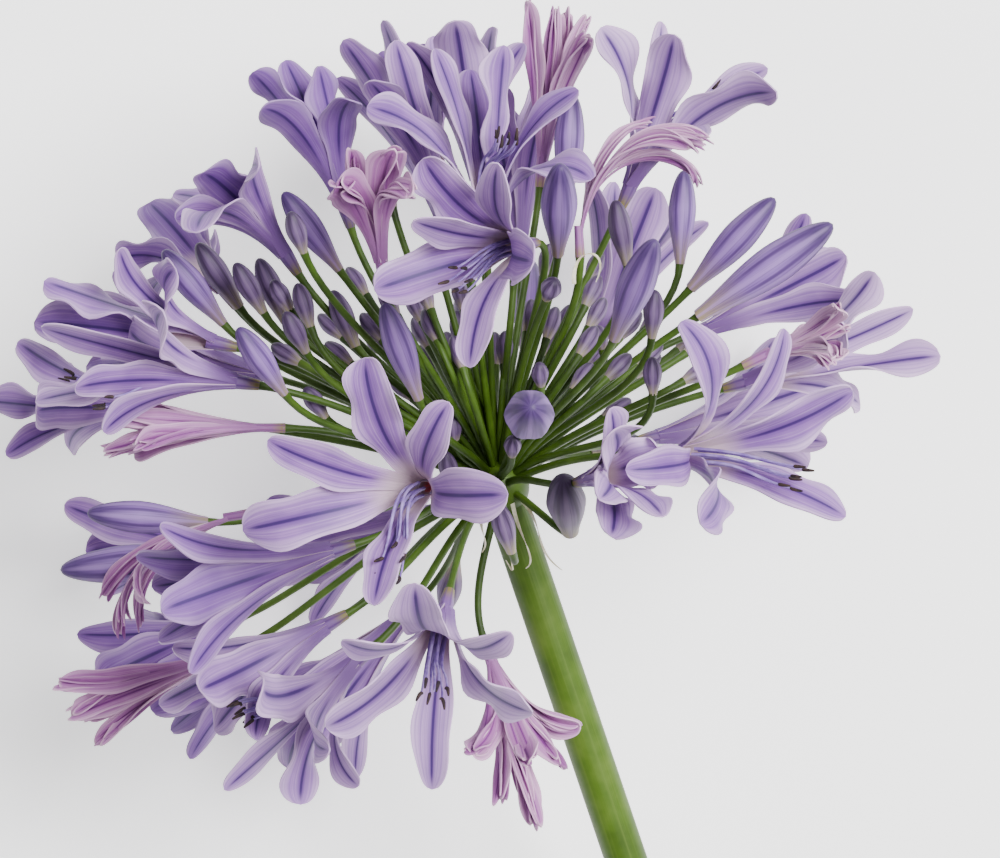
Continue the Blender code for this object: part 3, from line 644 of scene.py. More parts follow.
def clear_pedicel(form, crowd, others):
    """The least bowed way from the hub that crosses no other node, nor another flower stalk past the hub."""
    side = any_across(form.axis)
    other = form.axis.cross(side)
    ways = sorted((abs(a) + abs(b), a, b) for a in BOWS for b in BOWS)
    second_best = None
    for _, a, b in ways:
        curve = pedicel_curve(form.seat, form.axis, (side * a + other * b) * MM)
        if crowd.hits([form.name, "stalk"], pedicel(curve, CLEAR)):
            continue
        free = pedicel(curve, start=PEDICEL_APART_FROM)
        if not others.hits([], free):
            others.add(form.name, free)
            return curve
        second_best = second_best or curve
    return second_best or pedicel_curve(form.seat, form.axis)


def clear_petals(form, crowd, ways):
    """The tepals of a bloom, each bent as little as keeps it clear of other nodes and of its own whorl."""
    petals = []
    own = Crowd()
    for index, tip in enumerate(form.tips):
        for _, *way in ways:
            petal = petal_to(form, bent_tip(form, tip, *way), index)
            test = petal_solid(petal, form.row, spare=CLEAR)
            if not form.row.rests and min(vert.co.z for vert in test.verts) < ABOVE_SURFACE:
                continue
            free = petal_solid(petal, form.row, start=TEPAL_APART_FROM)
            if not crowd.hits([form.name], test) and not own.hits([], free):
                crowd.add(form.name, test)
                own.add(form.name, free)
                petals.append(petal)
                break
    return petals


def stalk_direction():
    """Down from the hub so that the cut end's lower edge meets the surface."""
    tilt = math.asin((HUB.z - STALK_RADIUS_LOW) / STALK_LENGTH)
    return STALK_RUN.normalized() * math.cos(tilt) - UP * math.sin(tilt)


STALK_DIRECTION = stalk_direction()
STALK_END = HUB + STALK_DIRECTION * STALK_LENGTH


def stalk_radius(share):
    return STALK_RADIUS_TOP + (STALK_RADIUS_LOW - STALK_RADIUS_TOP) * share


def stalk_solids():
    """The stalk and the hub, the knob that every flower stalk springs from."""
    rings = [(HUB.lerp(STALK_END, share), STALK_DIRECTION, stalk_radius(share)) for share in (0, 0.5, 1)]
    hub = bmesh.new()
    bmesh.ops.create_icosphere(hub, subdivisions=1, radius=HUB_RADIUS, matrix=Matrix.Translation(HUB))
    return [swept(rings, STALK_SIDES), hub]


def named(prefix, rows):
    return [(f"{prefix}_{number:02d}", row) for number, row in enumerate(rows, 1)]


def back_buds():
    """Thin stalks with little buds that fill the fan behind the others."""
    chance = random.Random(SEED_BACK)
    low, high = BACK_FAN
    rows = []
    for index in range(BACK_BUDS):
        angle = math.radians(low + (high - low) * index / BACK_BUDS)
        ahead, rise = math.cos(angle), math.sin(angle)
        near, height = chance.uniform(*BACK_REACH), chance.uniform(*BACK_HEIGHT)
        far = near + BACK_BUD
        seat = (VIEW_ACROSS + ahead * near, HUB_DOWN - rise * near, height)
        tip = (VIEW_ACROSS + ahead * far, HUB_DOWN - rise * far, height - BACK_BUD_DROP)
        rows.append(Bud(seat, tip, fat=BACK_BUD_FAT))
    return rows


def lay_out():
    """Places every floret as in the solid model and finds the ways and tepals that keep them apart."""
    chance = random.Random(SEED_LAYOUT)
    crowd = Crowd()
    for solid in stalk_solids():
        crowd.add("stalk", solid)
    bloom_rows = named("bloom", OPEN_BLOOMS + FAR_BLOOMS) + named("faded_bloom", FADED_BLOOMS)
    blooms = settle(bloom_rows, bloom_form, tube_solid, crowd)
    buds = settle(named("bud", LARGE_BUDS), bud_form, bud_solid, crowd)
    small = settle([("stalk", row) for row in SMALL_BUDS + FAR_BUDS], bud_form, bud_solid, crowd)
    others = Crowd()
    curves = []
    for form in blooms + buds + small:
        curve = clear_pedicel(form, crowd, others)
        crowd.add("stalk", pedicel(curve, CLEAR, start=PEDICEL_BODY_FROM))
        curves.append(curve)
    ways = bends()
    petals = {}
    for form in blooms:
        form.tips = tepal_tips(form, chance)
        petals[form.name] = clear_petals(form, crowd, ways)
    for row in back_buds():
        form = bud_form("stalk", row)
        curve = pedicel_curve(form.seat, form.axis)
        bud = bud_solid(form)
        if not crowd.hits([], bud) and not crowd.hits(["stalk"], pedicel(curve, CLEAR)):
            crowd.add("stalk", bud)
            small.append(form)
            curves.append(curve)
    return blooms, buds, small, curves, petals


# PETALS AND SKINS: the fine pieces, which follow the same curves.

# A tepal's fine sheet. Pairs are for the wide and the narrow tepals of a bloom.
FINE_BLADE = 0.35 * MM
FINE_COLUMNS = 12
FINE_ROWS = 26
FINE_ROOT_RADIUS = 1.35 * MM
FINE_SUNK = 8.6 * MM
ROOT_WIDTH = (0.27, 0.33)
TIP_POWER = (2.4, 1.7)
OPEN_WAIST = 1.5
EDGE_WAVES = (11, 17)
EDGE_RUFFLE = ((0.14, 0.28), (0.04, 0.1))
OPEN_TWIST = 0.12
FADED_TWIST = 0.45
LIMP_TWIST = 1.1
FADED_ROLL = (0.3, 0.7)
STIFF_ROLL = 0.5

# A tepal that shows less than EDGE_ON of its face is twisted, judged at a place near its tip.
EDGE_ON = 0.5
JUDGED_AT = 0.8
TWIST_TO_VIEW = 1.15

# Loose strands between the tepals of a withered bloom.
WITHERED_STRANDS = 4
STRAND_SHIFT = 1.5 * MM
STRAND_WIDTH = 0.5
STRAND_CUP = 0.2
STRAND_RUFFLE = (0.2, 0.3)
STRAND_TWIST = 3
STRAND_TONE = (-0.3, 0.7)

# The tone of a piece: lighter below 0, darker above it. A bloom's tone also holds painted light and shade: a
# little darker away from the key light, and lighter toward it.
TONE_SPREAD = 0.36
PAINTED_SHADE_SLOPE = 3.5
TEPAL_TONE = 0.15
BUD_TONE = 0.35
SMALL_BUD_TONE = 0.5
PEDICEL_TONE = 0.45
KNOB_TONE = 0.2

# The fused foot of the tepals, slimmer in a withered bloom.
TUBE_SHARE = 0.5
TUBE_RADIUS_FOOT = 1.1 * MM
TUBE_RADIUS_NECK = 1.65 * MM
FADED_SLIM = 0.8
LIMP_SLIM = 0.55
TUBE_WALL = 0.25 * MM
TUBE_FURROW = 0.05
TUBE_COLUMNS = 24
TUBE_ROWS = 10
FOOT_SUNK = 0.5 * MM
FOOT_COLUMNS = 12

# Filaments, and the pollen sacs that lie across their ends, each held about a third of the way along.
STAMEN_LENGTH = 25 * MM
STAMEN_SAG = 1.5 * MM
STAMEN_SUNK = 3 * MM
STAMEN_ROOT_RADIUS = 1.6 * MM
STAMEN_MIDDLE = 0.4
STAMEN_MIDDLE_RADIUS = 1.2 * MM
STAMEN_BEND = 0.65
STAMEN_BEND_RADIUS = 2.2 * MM
STAMEN_TIP_RADIUS = 2.6 * MM
FILAMENTS = 6
FILAMENT_RADIUS = 0.32 * MM
FILAMENT_FOOT = 1.15
FILAMENT_TAPER = 0.45
FILAMENT_TURN = 0.3
FILAMENT_STRETCH = (0.86, 1.06)
FILAMENT_ROWS = 12
FILAMENT_COLUMNS = 6
ANTHER_LENGTH = 2.6 * MM
ANTHER_RADIUS = 0.42 * MM
ANTHER_ENDS = 0.45
ANTHER_HOOK = 1.6
ANTHER_HELD_AT = 0.35
ANTHER_ALONG = (-0.2, 0.9)
ANTHER_OUT = (-0.4, 0.6)
ANTHER_SHARES = (0, 0.15, 0.35, 0.5, 0.7, 0.9, 1)
ANTHER_COLUMNS = 8

# Buds: a slim foot, six ribs, and a blunt tip.
BUD_COLUMNS = 24
BUD_ROWS = 20
BUD_ROW_POWER = 1.4
BUD_SWELL_POWER = 1.4
BUD_WIDEST = 0.6
BUD_TIP_POWER = 2.6
BUD_TAPER = 0.22
BUD_RIB = 0.045
BUD_RIB_END = 1.1
BUD_FOOT = 0.36
SMALL_BUD_FOOT = 0.46

# The stalk, three shallow flutes along it, and the flower stalks.
STALK_COLUMNS = 32
STALK_ROWS = 60
STALK_FLUTES = 3
STALK_FLUTE = 0.012
STALK_FLUTE_TURN = 2
CUT_FACES = 0.9
KNOB_SUBDIVISIONS = 4
PEDICEL_SLIM = 0.74
PEDICEL_COLUMNS = 8
PEDICEL_ROWS = 16
PEDICEL_COLLAR_FROM = 0.93

# Shreds of the dry bract that hang from the knob, each through four places.
SHRED_COLUMNS = 3
SHRED_ROWS = 14
SHRED_WIDTH = 0.45 * MM
SHRED_TAPER = 0.8
SHRED_THICKNESS = 0.12 * MM
SHRED_CURL = 3.5
BRACT_SHREDS = (
    ((512, 500, 4), (516, 535, 12), (540, 560, 11), (526, 568, 6)),
    ((520, 498, 3), (548, 528, 9), (530, 548, 8), (562, 570, 5)),
    ((500, 505, 4), (508, 560, 12), (520, 585, 10), (506, 560, 9)),
    ((484, 506, 6), (474, 530, 13), (492, 540, 11), (482, 552, 9)),
    ((574, 284, 44), (570, 242, 46), (614, 246, 46), (596, 282, 44)),
)

# Skins: faces that meet more sharply than this stay sharp. Light passes a little way into petals, blue most.
SHARP_FROM = math.radians(60)
SKIN_GLOSS = 0.25
SKIN_GLOW = 0.1
SKIN_GLOW_RADIUS = (0.9, 0.7, 1.0)
SEED_SKINS = 11

# Grain. Streaks round and along a piece: 0.3 mm wide on a petal, 0.5 on a bud and 0.8 on the stalk.
PETAL_STREAKS = (30.0, 1.4)
BUD_STREAKS = (46.0, 2.0)
GREEN_FIBRES = (38.0, 3.0)
STREAK_DETAIL = 3.0
# Veins from the middle line to the margin, and how far the streaks push them and the line aside.
VEINS = 4.5
LINE_WANDERS = 0.14
# Noise cells in a metre: clouds of 8 mm in a petal, blotches of 17 and 11 mm in the stalks.
PETAL_CLOUDS = 130.0
STALK_BLOTCHES = 60.0
FLOWER_STALK_BLOTCHES = 90.0

# The studio: a soft key light from the upper right, a weak one from the left, a white room and white paper.
WORLD_LIGHT = 0.36
KEY_LIGHT = 98
KEY_PLACE = (0.85, 0.55, 1.65)
KEY_SIZE = 1.0
FILL_LIGHT = 8
FILL_PLACE = (-1.2, -0.2, 1.2)
FILL_SIZE = 1.4
LIGHTS_AIM = (0, 0.05, 0.08)
FLOOR_GLOW = 0.8
FLOOR_HALF = 3.0
FLOOR_HEIGHT = -0.5 * MM
SENSOR = 36
SEEN_TO = 20

# The places of the materials on each kind of piece.
TEPAL_SKIN, TUBE_SKIN, FILAMENT_SKIN, ANTHER_SKIN = range(4)
STALK_SKIN, PEDICEL_SKIN, SMALL_BUD_SKIN, CUT_SKIN, BRACT_SKIN = range(5)


def sheet(bm, columns, rows, point):
    """The faces of a grid laid at point(u, v), which are also its UV map; corners that meet are welded."""
    grid = bmesh.ops.create_grid(bm, x_segments=columns, y_segments=rows, size=0.5, calc_uvs=True)
    verts = grid["verts"]
    for vert in verts:
        vert.co = point(vert.co.x + 0.5, vert.co.y + 0.5)
    faces = {face for vert in verts for face in vert.link_faces}
    bmesh.ops.remove_doubles(bm, verts=verts, dist=WELD)
    return [face for face in faces if face.is_valid]


def run_of_frames(points):
    """A frame (side, other side) at each point of a run, carried along without twisting."""
    frames = []
    side = None
    for before, after in zip([points[0], *points], [*points[1:], points[-1]]):
        heading = (after - before).normalized()
        side = any_across(heading) if side is None else (side - heading * side.dot(heading)).normalized()
        frames.append((side, heading.cross(side)))
    return frames


def skin_round(bm, points, radius, sides):
    """A closed skin round a run of points; radius(u, v) may change round it and along it."""
    frames = run_of_frames(points)
    rows = len(points) + 1

    def place_on(u, v):
        row = round(v * rows)
        index = min(max(row - 1, 0), len(points) - 1)
        size = 0 if row in (0, rows) else radius(u, index / (len(points) - 1))
        return points[index] + turned(*frames[index], math.tau * u) * size

    return sheet(bm, sides, rows, place_on)


def along_curve(curve, rows):
    return [curve_point(curve, row / rows) for row in range(rows + 1)]


def mark(bm, faces, skin, tone=0.0, outside=0.0):
    """Gives faces their material, and their corners the tone and the side that the materials read."""
    layers = bm.verts.layers.float
    for face in faces:
        face.material_index = skin
        face.smooth = True
        for vert in face.verts:
            vert[layers["tone"]] = tone
            vert[layers["outside"]] = outside


def thicken(bm, faces, thickness, skin, tone=0.0):
    """Gives a sheet its thickness, material and tone, and marks its first side as the outer one."""
    outer = {vert for face in faces for vert in face.verts}
    bmesh.ops.solidify(bm, geom=faces, thickness=thickness)
    mark(bm, [face for face in bm.faces if not face.smooth], skin, tone)
    for vert in outer:
        vert[bm.verts.layers.float["outside"]] = 1


def slimness(form):
    """How much thinner the tube of a withered bloom is."""
    if form.row.limp:
        return LIMP_SLIM
    return FADED_SLIM if form.name.startswith("faded") else 1


def fine_tepal(bm, form, petal, finish, tone):
    """A thin tepal that starts deep in the tube, so that tube and tepals look like one."""
    chord = petal.curve[0] - form.throat
    outward = (chord - form.axis * chord.dot(form.axis)).normalized()
    root = form.throat - form.axis * FINE_SUNK + outward * FINE_ROOT_RADIUS * slimness(form)
    petal = replace(petal, curve=(root, *petal.curve[1:]))

    def place_on(u, v):
        return petal_point(petal, 1 - (1 - v) ** TEPAL_STEPS_TOWARD_TIP, 2 * u - 1, -FINE_BLADE / 2, finish)

    faces = sheet(bm, FINE_COLUMNS, FINE_ROWS, place_on)
    if form.row.rests:
        for vert in {vert for face in faces for vert in face.verts}:
            vert.co.z = max(vert.co.z, FINE_BLADE)
    thicken(bm, faces, FINE_BLADE, TEPAL_SKIN, tone)


def fine_tube(bm, form, tone):
    """The fused foot that the tepals grow out of: a slim funnel with a shallow furrow between each two."""
    start = form.seat - form.axis * FOOT_SUNK
    run = (form.throat - start) * TUBE_SHARE
    neck = TUBE_RADIUS_NECK * slimness(form)
    side = any_across(form.axis)
    other = form.axis.cross(side)

    def place_on(u, v):
        swell = math.sin(math.pi / 2 * v)
        radius = TUBE_RADIUS_FOOT + (neck - TUBE_RADIUS_FOOT) * swell
        radius *= 1 + TUBE_FURROW * swell * math.cos(TEPALS * math.tau * u)
        return start + run * v + turned(side, other, math.tau * u) * radius

    thicken(bm, sheet(bm, TUBE_COLUMNS, TUBE_ROWS, place_on), TUBE_WALL, TUBE_SKIN, tone)
    foot = skin_round(bm, [start, start + form.axis * FOOT_SUNK], lambda u, v: TUBE_RADIUS_FOOT, FOOT_COLUMNS)
    mark(bm, foot, TUBE_SKIN, tone, outside=1)


def filament_girth(_, along):
    return FILAMENT_RADIUS * (FILAMENT_FOOT - FILAMENT_TAPER * along)


def anther_girth(_, along):
    return ANTHER_RADIUS * (ANTHER_ENDS + (1 - ANTHER_ENDS) * math.sin(math.pi * along))


def fine_stamens(bm, form, chance, tone):
    """Six filaments with dark anthers and one style, which sag together and turn up at the end."""
    throat, axis = form.throat, form.axis
    goal = reach(throat, form.row.anthers, STAMEN_LENGTH)
    side = any_across(axis)
    for index in range(FILAMENTS + 1):
        turn = Quaternion(axis, math.tau * index / FILAMENTS + FILAMENT_TURN)
        out = turn @ side if index < FILAMENTS else side * 0
        stretch = chance.uniform(*FILAMENT_STRETCH)
        curve = (
            throat - axis * STAMEN_SUNK + out * STAMEN_ROOT_RADIUS,
            throat + axis * STAMEN_LENGTH * STAMEN_MIDDLE + out * STAMEN_MIDDLE_RADIUS,
            throat.lerp(goal, STAMEN_BEND * stretch) - axis * STAMEN_SAG + out * STAMEN_BEND_RADIUS,
            throat + (goal - throat) * stretch + out * STAMEN_TIP_RADIUS,
        )
        filament = skin_round(bm, along_curve(curve, FILAMENT_ROWS), filament_girth, FILAMENT_COLUMNS)
        mark(bm, filament, FILAMENT_SKIN, tone)
        if index == FILAMENTS:
            continue
        hook = curve_heading(curve, 1) + axis * chance.uniform(*ANTHER_ALONG)
        hook = (hook + out * chance.uniform(*ANTHER_OUT)).normalized()
        points = []
        for share in ANTHER_SHARES:
            bow = axis * ANTHER_HOOK * (share - 0.5) ** 2
            points.append(curve[3] + (hook * (share - ANTHER_HELD_AT) + bow) * ANTHER_LENGTH)
        mark(bm, skin_round(bm, points, anther_girth, ANTHER_COLUMNS), ANTHER_SKIN, tone)


def bud_outline(along, foot):
    """Share of a bud's full radius: a slim foot, widest past the middle, then in to a blunt round tip."""
    if along < BUD_WIDEST:
        return foot + (1 - foot) * math.sin(math.pi / 2 * along / BUD_WIDEST) ** BUD_SWELL_POWER
    past = (along - BUD_WIDEST) / (1 - BUD_WIDEST)
    return math.sqrt(max(1 - past**BUD_TIP_POWER, 0)) * (1 - BUD_TAPER * past)


def fine_bud(bm, form, foot, skin, tone):
    """A spindle with six shallow ribs, closed to a blunt point."""
    start, run, size = bud_line(form, -FOOT_SUNK)
    points = [start + run * (1 - (1 - row / BUD_ROWS) ** BUD_ROW_POWER) for row in range(BUD_ROWS + 1)]

    def radius(u, v):
        along = 1 - (1 - v) ** BUD_ROW_POWER
        height = math.sin(math.pi * min(along * BUD_RIB_END, 1))
        return size * bud_outline(along, foot) * (1 + BUD_RIB * math.cos(TEPALS * math.tau * u) * height)

    mark(bm, skin_round(bm, points, radius, BUD_COLUMNS), skin, tone)


def new_mesh():
    bm = bmesh.new()
    bm.loops.layers.uv.new("UVMap")
    bm.verts.layers.float.new("tone")
    bm.verts.layers.float.new("outside")
    return bm


def show(name, data, spot=(0, 0, 0)):
    made = bpy.data.objects.new(name, data)
    made.location = spot
    bpy.context.scene.collection.objects.link(made)
    return made


def mesh_from(name, bm, *materials):
    mesh = bpy.data.meshes.new(name)
    bm.to_mesh(mesh)
    bm.free()
    for skin in materials:
        mesh.materials.append(skin)
    return mesh


def piece(name, bm, node, materials):
    """A finished piece that rides with the stem and stands for its solid."""
    bmesh.ops.recalc_face_normals(bm, faces=bm.faces)
    mesh = mesh_from(name, bm, *materials)
    mesh.set_sharp_from_angle(angle=SHARP_FROM)
    made = show(name, mesh)
    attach(made, "root")
    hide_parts(node)


def linear(code):
    """An sRGB hex value as linear red, green, blue and full alpha."""
    parts = [int(code[index : index + 2], 16) / 255 for index in (1, 3, 5)]
    return (*[part / 12.92 if part <= 0.04045 else ((part + 0.055) / 1.055) ** 2.4 for part in parts], 1)


def add(tree, kind, *values, out=None, stops=(), **settings):
    """Adds a node and returns an output. Values fill its inputs in order: a socket, a hex colour or plain."""
    node = tree.nodes.new("ShaderNode" + kind)
    for key, value in settings.items():
        setattr(node, key, value)
    for index, (spot, code) in enumerate(stops):
        band = node.color_ramp.elements
        stop = band[index] if index < len(band) else band.new(spot)
        stop.position, stop.color = spot, linear(code)
    for socket, value in zip([socket for socket in node.inputs if socket.enabled], values):
        if isinstance(value, bpy.types.NodeSocket):
            tree.links.new(value, socket)
        elif value is not None:
            socket.default_value = linear(value) if isinstance(value, str) else value
    return node.outputs[out] if out else next(socket for socket in node.outputs if socket.enabled)


def coats(tree, colour, *rows):
    """Lays coats on a colour, the first one lowest.

    A row is a colour, its share, and any bands (value, from, to) over which the coat eases in.
    """
    for over, share, *bands in rows:
        for band in bands:
            eased = add(tree, "MapRange", *band, interpolation_type="SMOOTHSTEP")
            share = add(tree, "Math", share, eased, operation="MULTIPLY")
        colour = add(tree, "Mix", share, colour, over, data_type="RGBA")
    return colour


def cosine(tree, value, waves):
    """A wave that swings so many times while the value goes from 0 to 1."""
    angle = add(tree, "Math", value, waves * math.tau, operation="MULTIPLY")
    return add(tree, "Math", angle, operation="COSINE")


def streaks_along(tree, uv, stretch, moved=(0, 0, 0)):
    """A fine uneven grain, drawn out along the piece; stretch is its number of streaks round and along."""
    grain = add(tree, "VectorMath", uv, (*stretch, 1.0), operation="MULTIPLY")
    return add(tree, "TexNoise", add(tree, "VectorMath", grain, moved, operation="ADD"), 1.0, STREAK_DETAIL)


def places(tree):
    """What patterns follow: the UV map, the ways across or round and along, the tone, side and space."""
    uv = add(tree, "UVMap", uv_map="UVMap")
    outside = add(tree, "Attribute", out="Fac", attribute_name="outside")
    return SimpleNamespace(
        uv=uv,
        across=add(tree, "SeparateXYZ", uv, out="X"),
        along=add(tree, "SeparateXYZ", uv, out="Y"),
        tone=add(tree, "Attribute", out="Fac", attribute_name="tone"),
        outside=outside,
        inside=add(tree, "Math", 1.0, outside, operation="SUBTRACT"),
        space=add(tree, "TexCoord", out="Object"),
    )


def material(name, roughness, **values):
    """A new material and its node tree; values set the shader's inputs."""
    made = bpy.data.materials.new(name)
    made.use_nodes = True
    shader = made.node_tree.nodes["Principled BSDF"]
    for key, value in {"Roughness": roughness, "Specular_IOR_Level": SKIN_GLOSS, **values}.items():
        shader.inputs[key.replace("_", " ")].default_value = value
    return made, made.node_tree


def dress(made, colour, grain=None, strength=0.0, depth=0.0):
    """Gives a material its colour and the low relief of its grain."""
    tree = made.node_tree
    shader = tree.nodes["Principled BSDF"]
    tree.links.new(colour, shader.inputs["Base Color"])
    if grain is not None:
        tree.links.new(add(tree, "Bump", strength, depth, None, grain), shader.inputs["Normal"])
    return made


def tepal_material(name, throat, neck, body, pale, deep, stripe, tip):
    """Living petal: thin skin with a soft satin sheen, fine veins, a dark middle line and paler margins."""
    made, tree = material(
        name,
        roughness=0.5,
        Subsurface_Weight=SKIN_GLOW,
        Subsurface_Scale=1 * MM,
        Subsurface_Radius=SKIN_GLOW_RADIUS,
    )
    at = places(tree)
    streaks = streaks_along(tree, at.uv, PETAL_STREAKS, at.space)
    clouds = add(tree, "TexNoise", at.space, PETAL_CLOUDS, 2.0)
    from_middle = add(tree, "Math", at.across, 2.0, -1.0, operation="MULTIPLY_ADD")
    off_middle = add(tree, "Math", from_middle, operation="ABSOLUTE")
    near_line = add(tree, "Math", streaks, LINE_WANDERS, off_middle, operation="MULTIPLY_ADD")
    ends = ((at.along, 0.1, 0.36), (at.along, 0.99, 0.8))
    colour = coats(
        tree,
        add(tree, "ValToRGB", at.along, stops=((0.92, body), (1.0, tip))),
        # Soft clouds, pale margins, and streaks both darker and paler than the body.
        (deep, 0.45, (clouds, 0.35, 0.7)),
        (pale, 0.65, (off_middle, 0.55, 0.95)),
        (deep, 0.5, (streaks, 0.5, 0.7)),
        (pale, 0.3, (streaks, 0.48, 0.28)),
        # The tepal's tone: its own random shift, and painted light and shade, darker away from the key light
        # and paler toward it.
        (deep, at.tone),
        (pale, add(tree, "Math", at.tone, -1.0, operation="MULTIPLY")),
        # Veins, the halo of the middle line and the line itself, which fade toward both ends.
        (deep, 0.26, (cosine(tree, near_line, VEINS), 0.5, 1.0), *ends),
        (deep, 0.75, (near_line, 0.46, 0.12), *ends),
        (stripe, 0.9, (near_line, 0.2, 0.1), *ends),
        # The foot, pale inside and dark outside.
        (throat, at.inside, (at.along, 0.27, 0.12)),
        (neck, at.outside, (at.along, 0.22, 0.04)),
    )
    return dress(made, colour, streaks, strength=0.3, depth=0.4 * MM)


def tube_material(name, foot, body, neck, furrow, throat):
    """The fused foot of the tepals: the same satin skin, greenish at the very foot, darker in its furrows."""
    made, tree = material(name, roughness=0.45, Subsurface_Weight=SKIN_GLOW, Subsurface_Scale=2 * MM)
    at = places(tree)
    colour = coats(
        tree,
        add(tree, "ValToRGB", at.along, stops=((0.12, foot), (0.45, body), (0.8, neck))),
        (furrow, 0.55, (cosine(tree, at.across, TEPALS), 0.2, 1.0)),
        # The tone: a random shift, and painted light and shade that darken a bloom's tube away from the key
        # light.
        (furrow, at.tone),
        (throat, at.inside),
    )
    return dress(made, colour)


def bud_material(name, foot, body, pale, deep, tip):
    """Closed bud: firm waxy skin, pale along the seams of its six tepals, dark on its ribs and at the tip."""
    made, tree = material(name, roughness=0.5)
    at = places(tree)
    streaks = streaks_along(tree, at.uv, BUD_STREAKS)
    wave = cosine(tree, at.across, TEPALS)
    colour = coats(
        tree,
        add(tree, "ValToRGB", at.along, stops=((0.06, foot), (0.3, body), (0.46, body), (0.78, tip))),
        (pale, 0.5, (wave, 0.1, -0.95), (at.along, 1.0, 0.6)),
        (deep, 0.85, (wave, 0.6, 1.0), (at.along, 0.08, 0.4)),
        (deep, 0.5, (streaks, 0.48, 0.7)),
        (deep, at.tone),
    )
    return dress(made, colour, streaks, strength=0.2, depth=0.3 * MM)


def green_material(name, body, dark, pale, cells):
    """Living green stalk: smooth waxy skin with long fine fibres under it and soft paler blotches."""
    made, tree = material(name, roughness=0.48)
    at = places(tree)
    fibres = streaks_along(tree, at.uv, GREEN_FIBRES)
    blotches = add(tree, "TexNoise", at.space, cells, 4.0, 0.6)
    colour = coats(
        tree,
        add(tree, "ValToRGB", blotches, stops=((0.3, dark), (0.5, body), (0.75, pale))),
        (pale, 0.35, (fibres, 0.45, 0.75)),
        (dark, at.tone),
    )
    return dress(made, colour, fibres, strength=0.15, depth=0.4 * MM)


def speckled_material(name, body, other, cells, roughness, **values):
    """Two near colours in a fine mottle, with so many cells in a metre."""
    made, tree = material(name, roughness, **values)
    mottle = add(tree, "TexNoise", add(tree, "TexCoord", out="Object"), cells, 3.0)
    return dress(made, add(tree, "ValToRGB", mottle, stops=((0.35, body), (0.65, other))))


def make_skins():
    # Fresh lavender petal and the tube it grows out of: a satin sheen, the cells too fine to see.
    petal = tepal_material(
        "living_petal_lavender", "#BAA3AF", "#6D4C86", "#8D64A6", "#C3A7CC", "#5B387F", "#2E1752", "#916EA7"
    )
    tube = tube_material("living_petal_tube", "#6C623C", "#684C7A", "#6D4C86", "#492F66", "#BAA3AF")
    # Wilting petal: drier and pinker, as its blue fades first.
    wilting = tepal_material(
        "wilting_petal_mauve", "#C9AFC0", "#8C5A8E", "#A06A9E", "#CCA6C2", "#7E3F80", "#5E2468", "#D6C2C8"
    )
    wilting_tube = tube_material("wilting_petal_tube", "#857058", "#8A5C8C", "#8C5A8E", "#683A70", "#C9AFC0")
    # Filament: a smooth thread with a soft gloss. Anther: dry dark pollen sacs, matt.
    filament = speckled_material("living_filament", "#9580B8", "#70559A", 400.0, 0.4)
    anther = speckled_material("dry_anther", "#1C141E", "#382A26", 900.0, 0.7)
    # Buds: waxy, the small unripe ones greyer and darker.
    bud = bud_material("waxy_bud_skin", "#938368", "#805FA2", "#A280C0", "#463060", "#3C2A54")
    small_bud = bud_material("waxy_small_bud_skin", "#A39A76", "#665076", "#8A7399", "#392A44", "#2C2038")
    # Stalks: waxy and green, the thin flower stalks deeper in colour.
    stalk = green_material("waxy_green_stalk", "#3E5811", "#2A4007", "#576C28", STALK_BLOTCHES)
    flower_stalk = green_material(
        "waxy_green_flower_stalk", "#364F0F", "#203207", "#4D6820", FLOWER_STALK_BLOTCHES
    )
    # Fresh cut pith: pale, wet and grainy. Dry bract: matt brownish paper.
    cut = speckled_material("fresh_cut_pith", "#A9B87C", "#86A054", 700.0, 0.6)
    bract = speckled_material("dry_papery_bract", "#DAD6C4", "#B5AC8C", 500.0, 0.8)
    return {
        "open": (petal, tube, filament, anther),
        "wilting": (wilting, wilting_tube, filament, anther),
        "bud": (bud,),
        "stalk": (stalk, flower_stalk, small_bud, cut, bract),
    }


def openness(form, petal):
    """0 for a tepal that runs on along its tube and 1 for one that stands square to it."""
    chord = petal.curve[3] - petal.curve[0]
    return 1 - max(chord.normalized().dot(form.axis), 0)


def turn_to_view(petal):
    """The twist that lets a tepal seen on its edge show some of its face, as many of them do."""
    heading = curve_heading(petal.curve, JUDGED_AT)
    inner = heading.cross(petal.side).normalized()
    seen, gained = inner.dot(UP), heading.cross(inner).dot(UP)
    if abs(seen) > EDGE_ON:
        return 0
    return math.copysign(TWIST_TO_VIEW * (1 - abs(seen) / EDGE_ON), seen * gained)


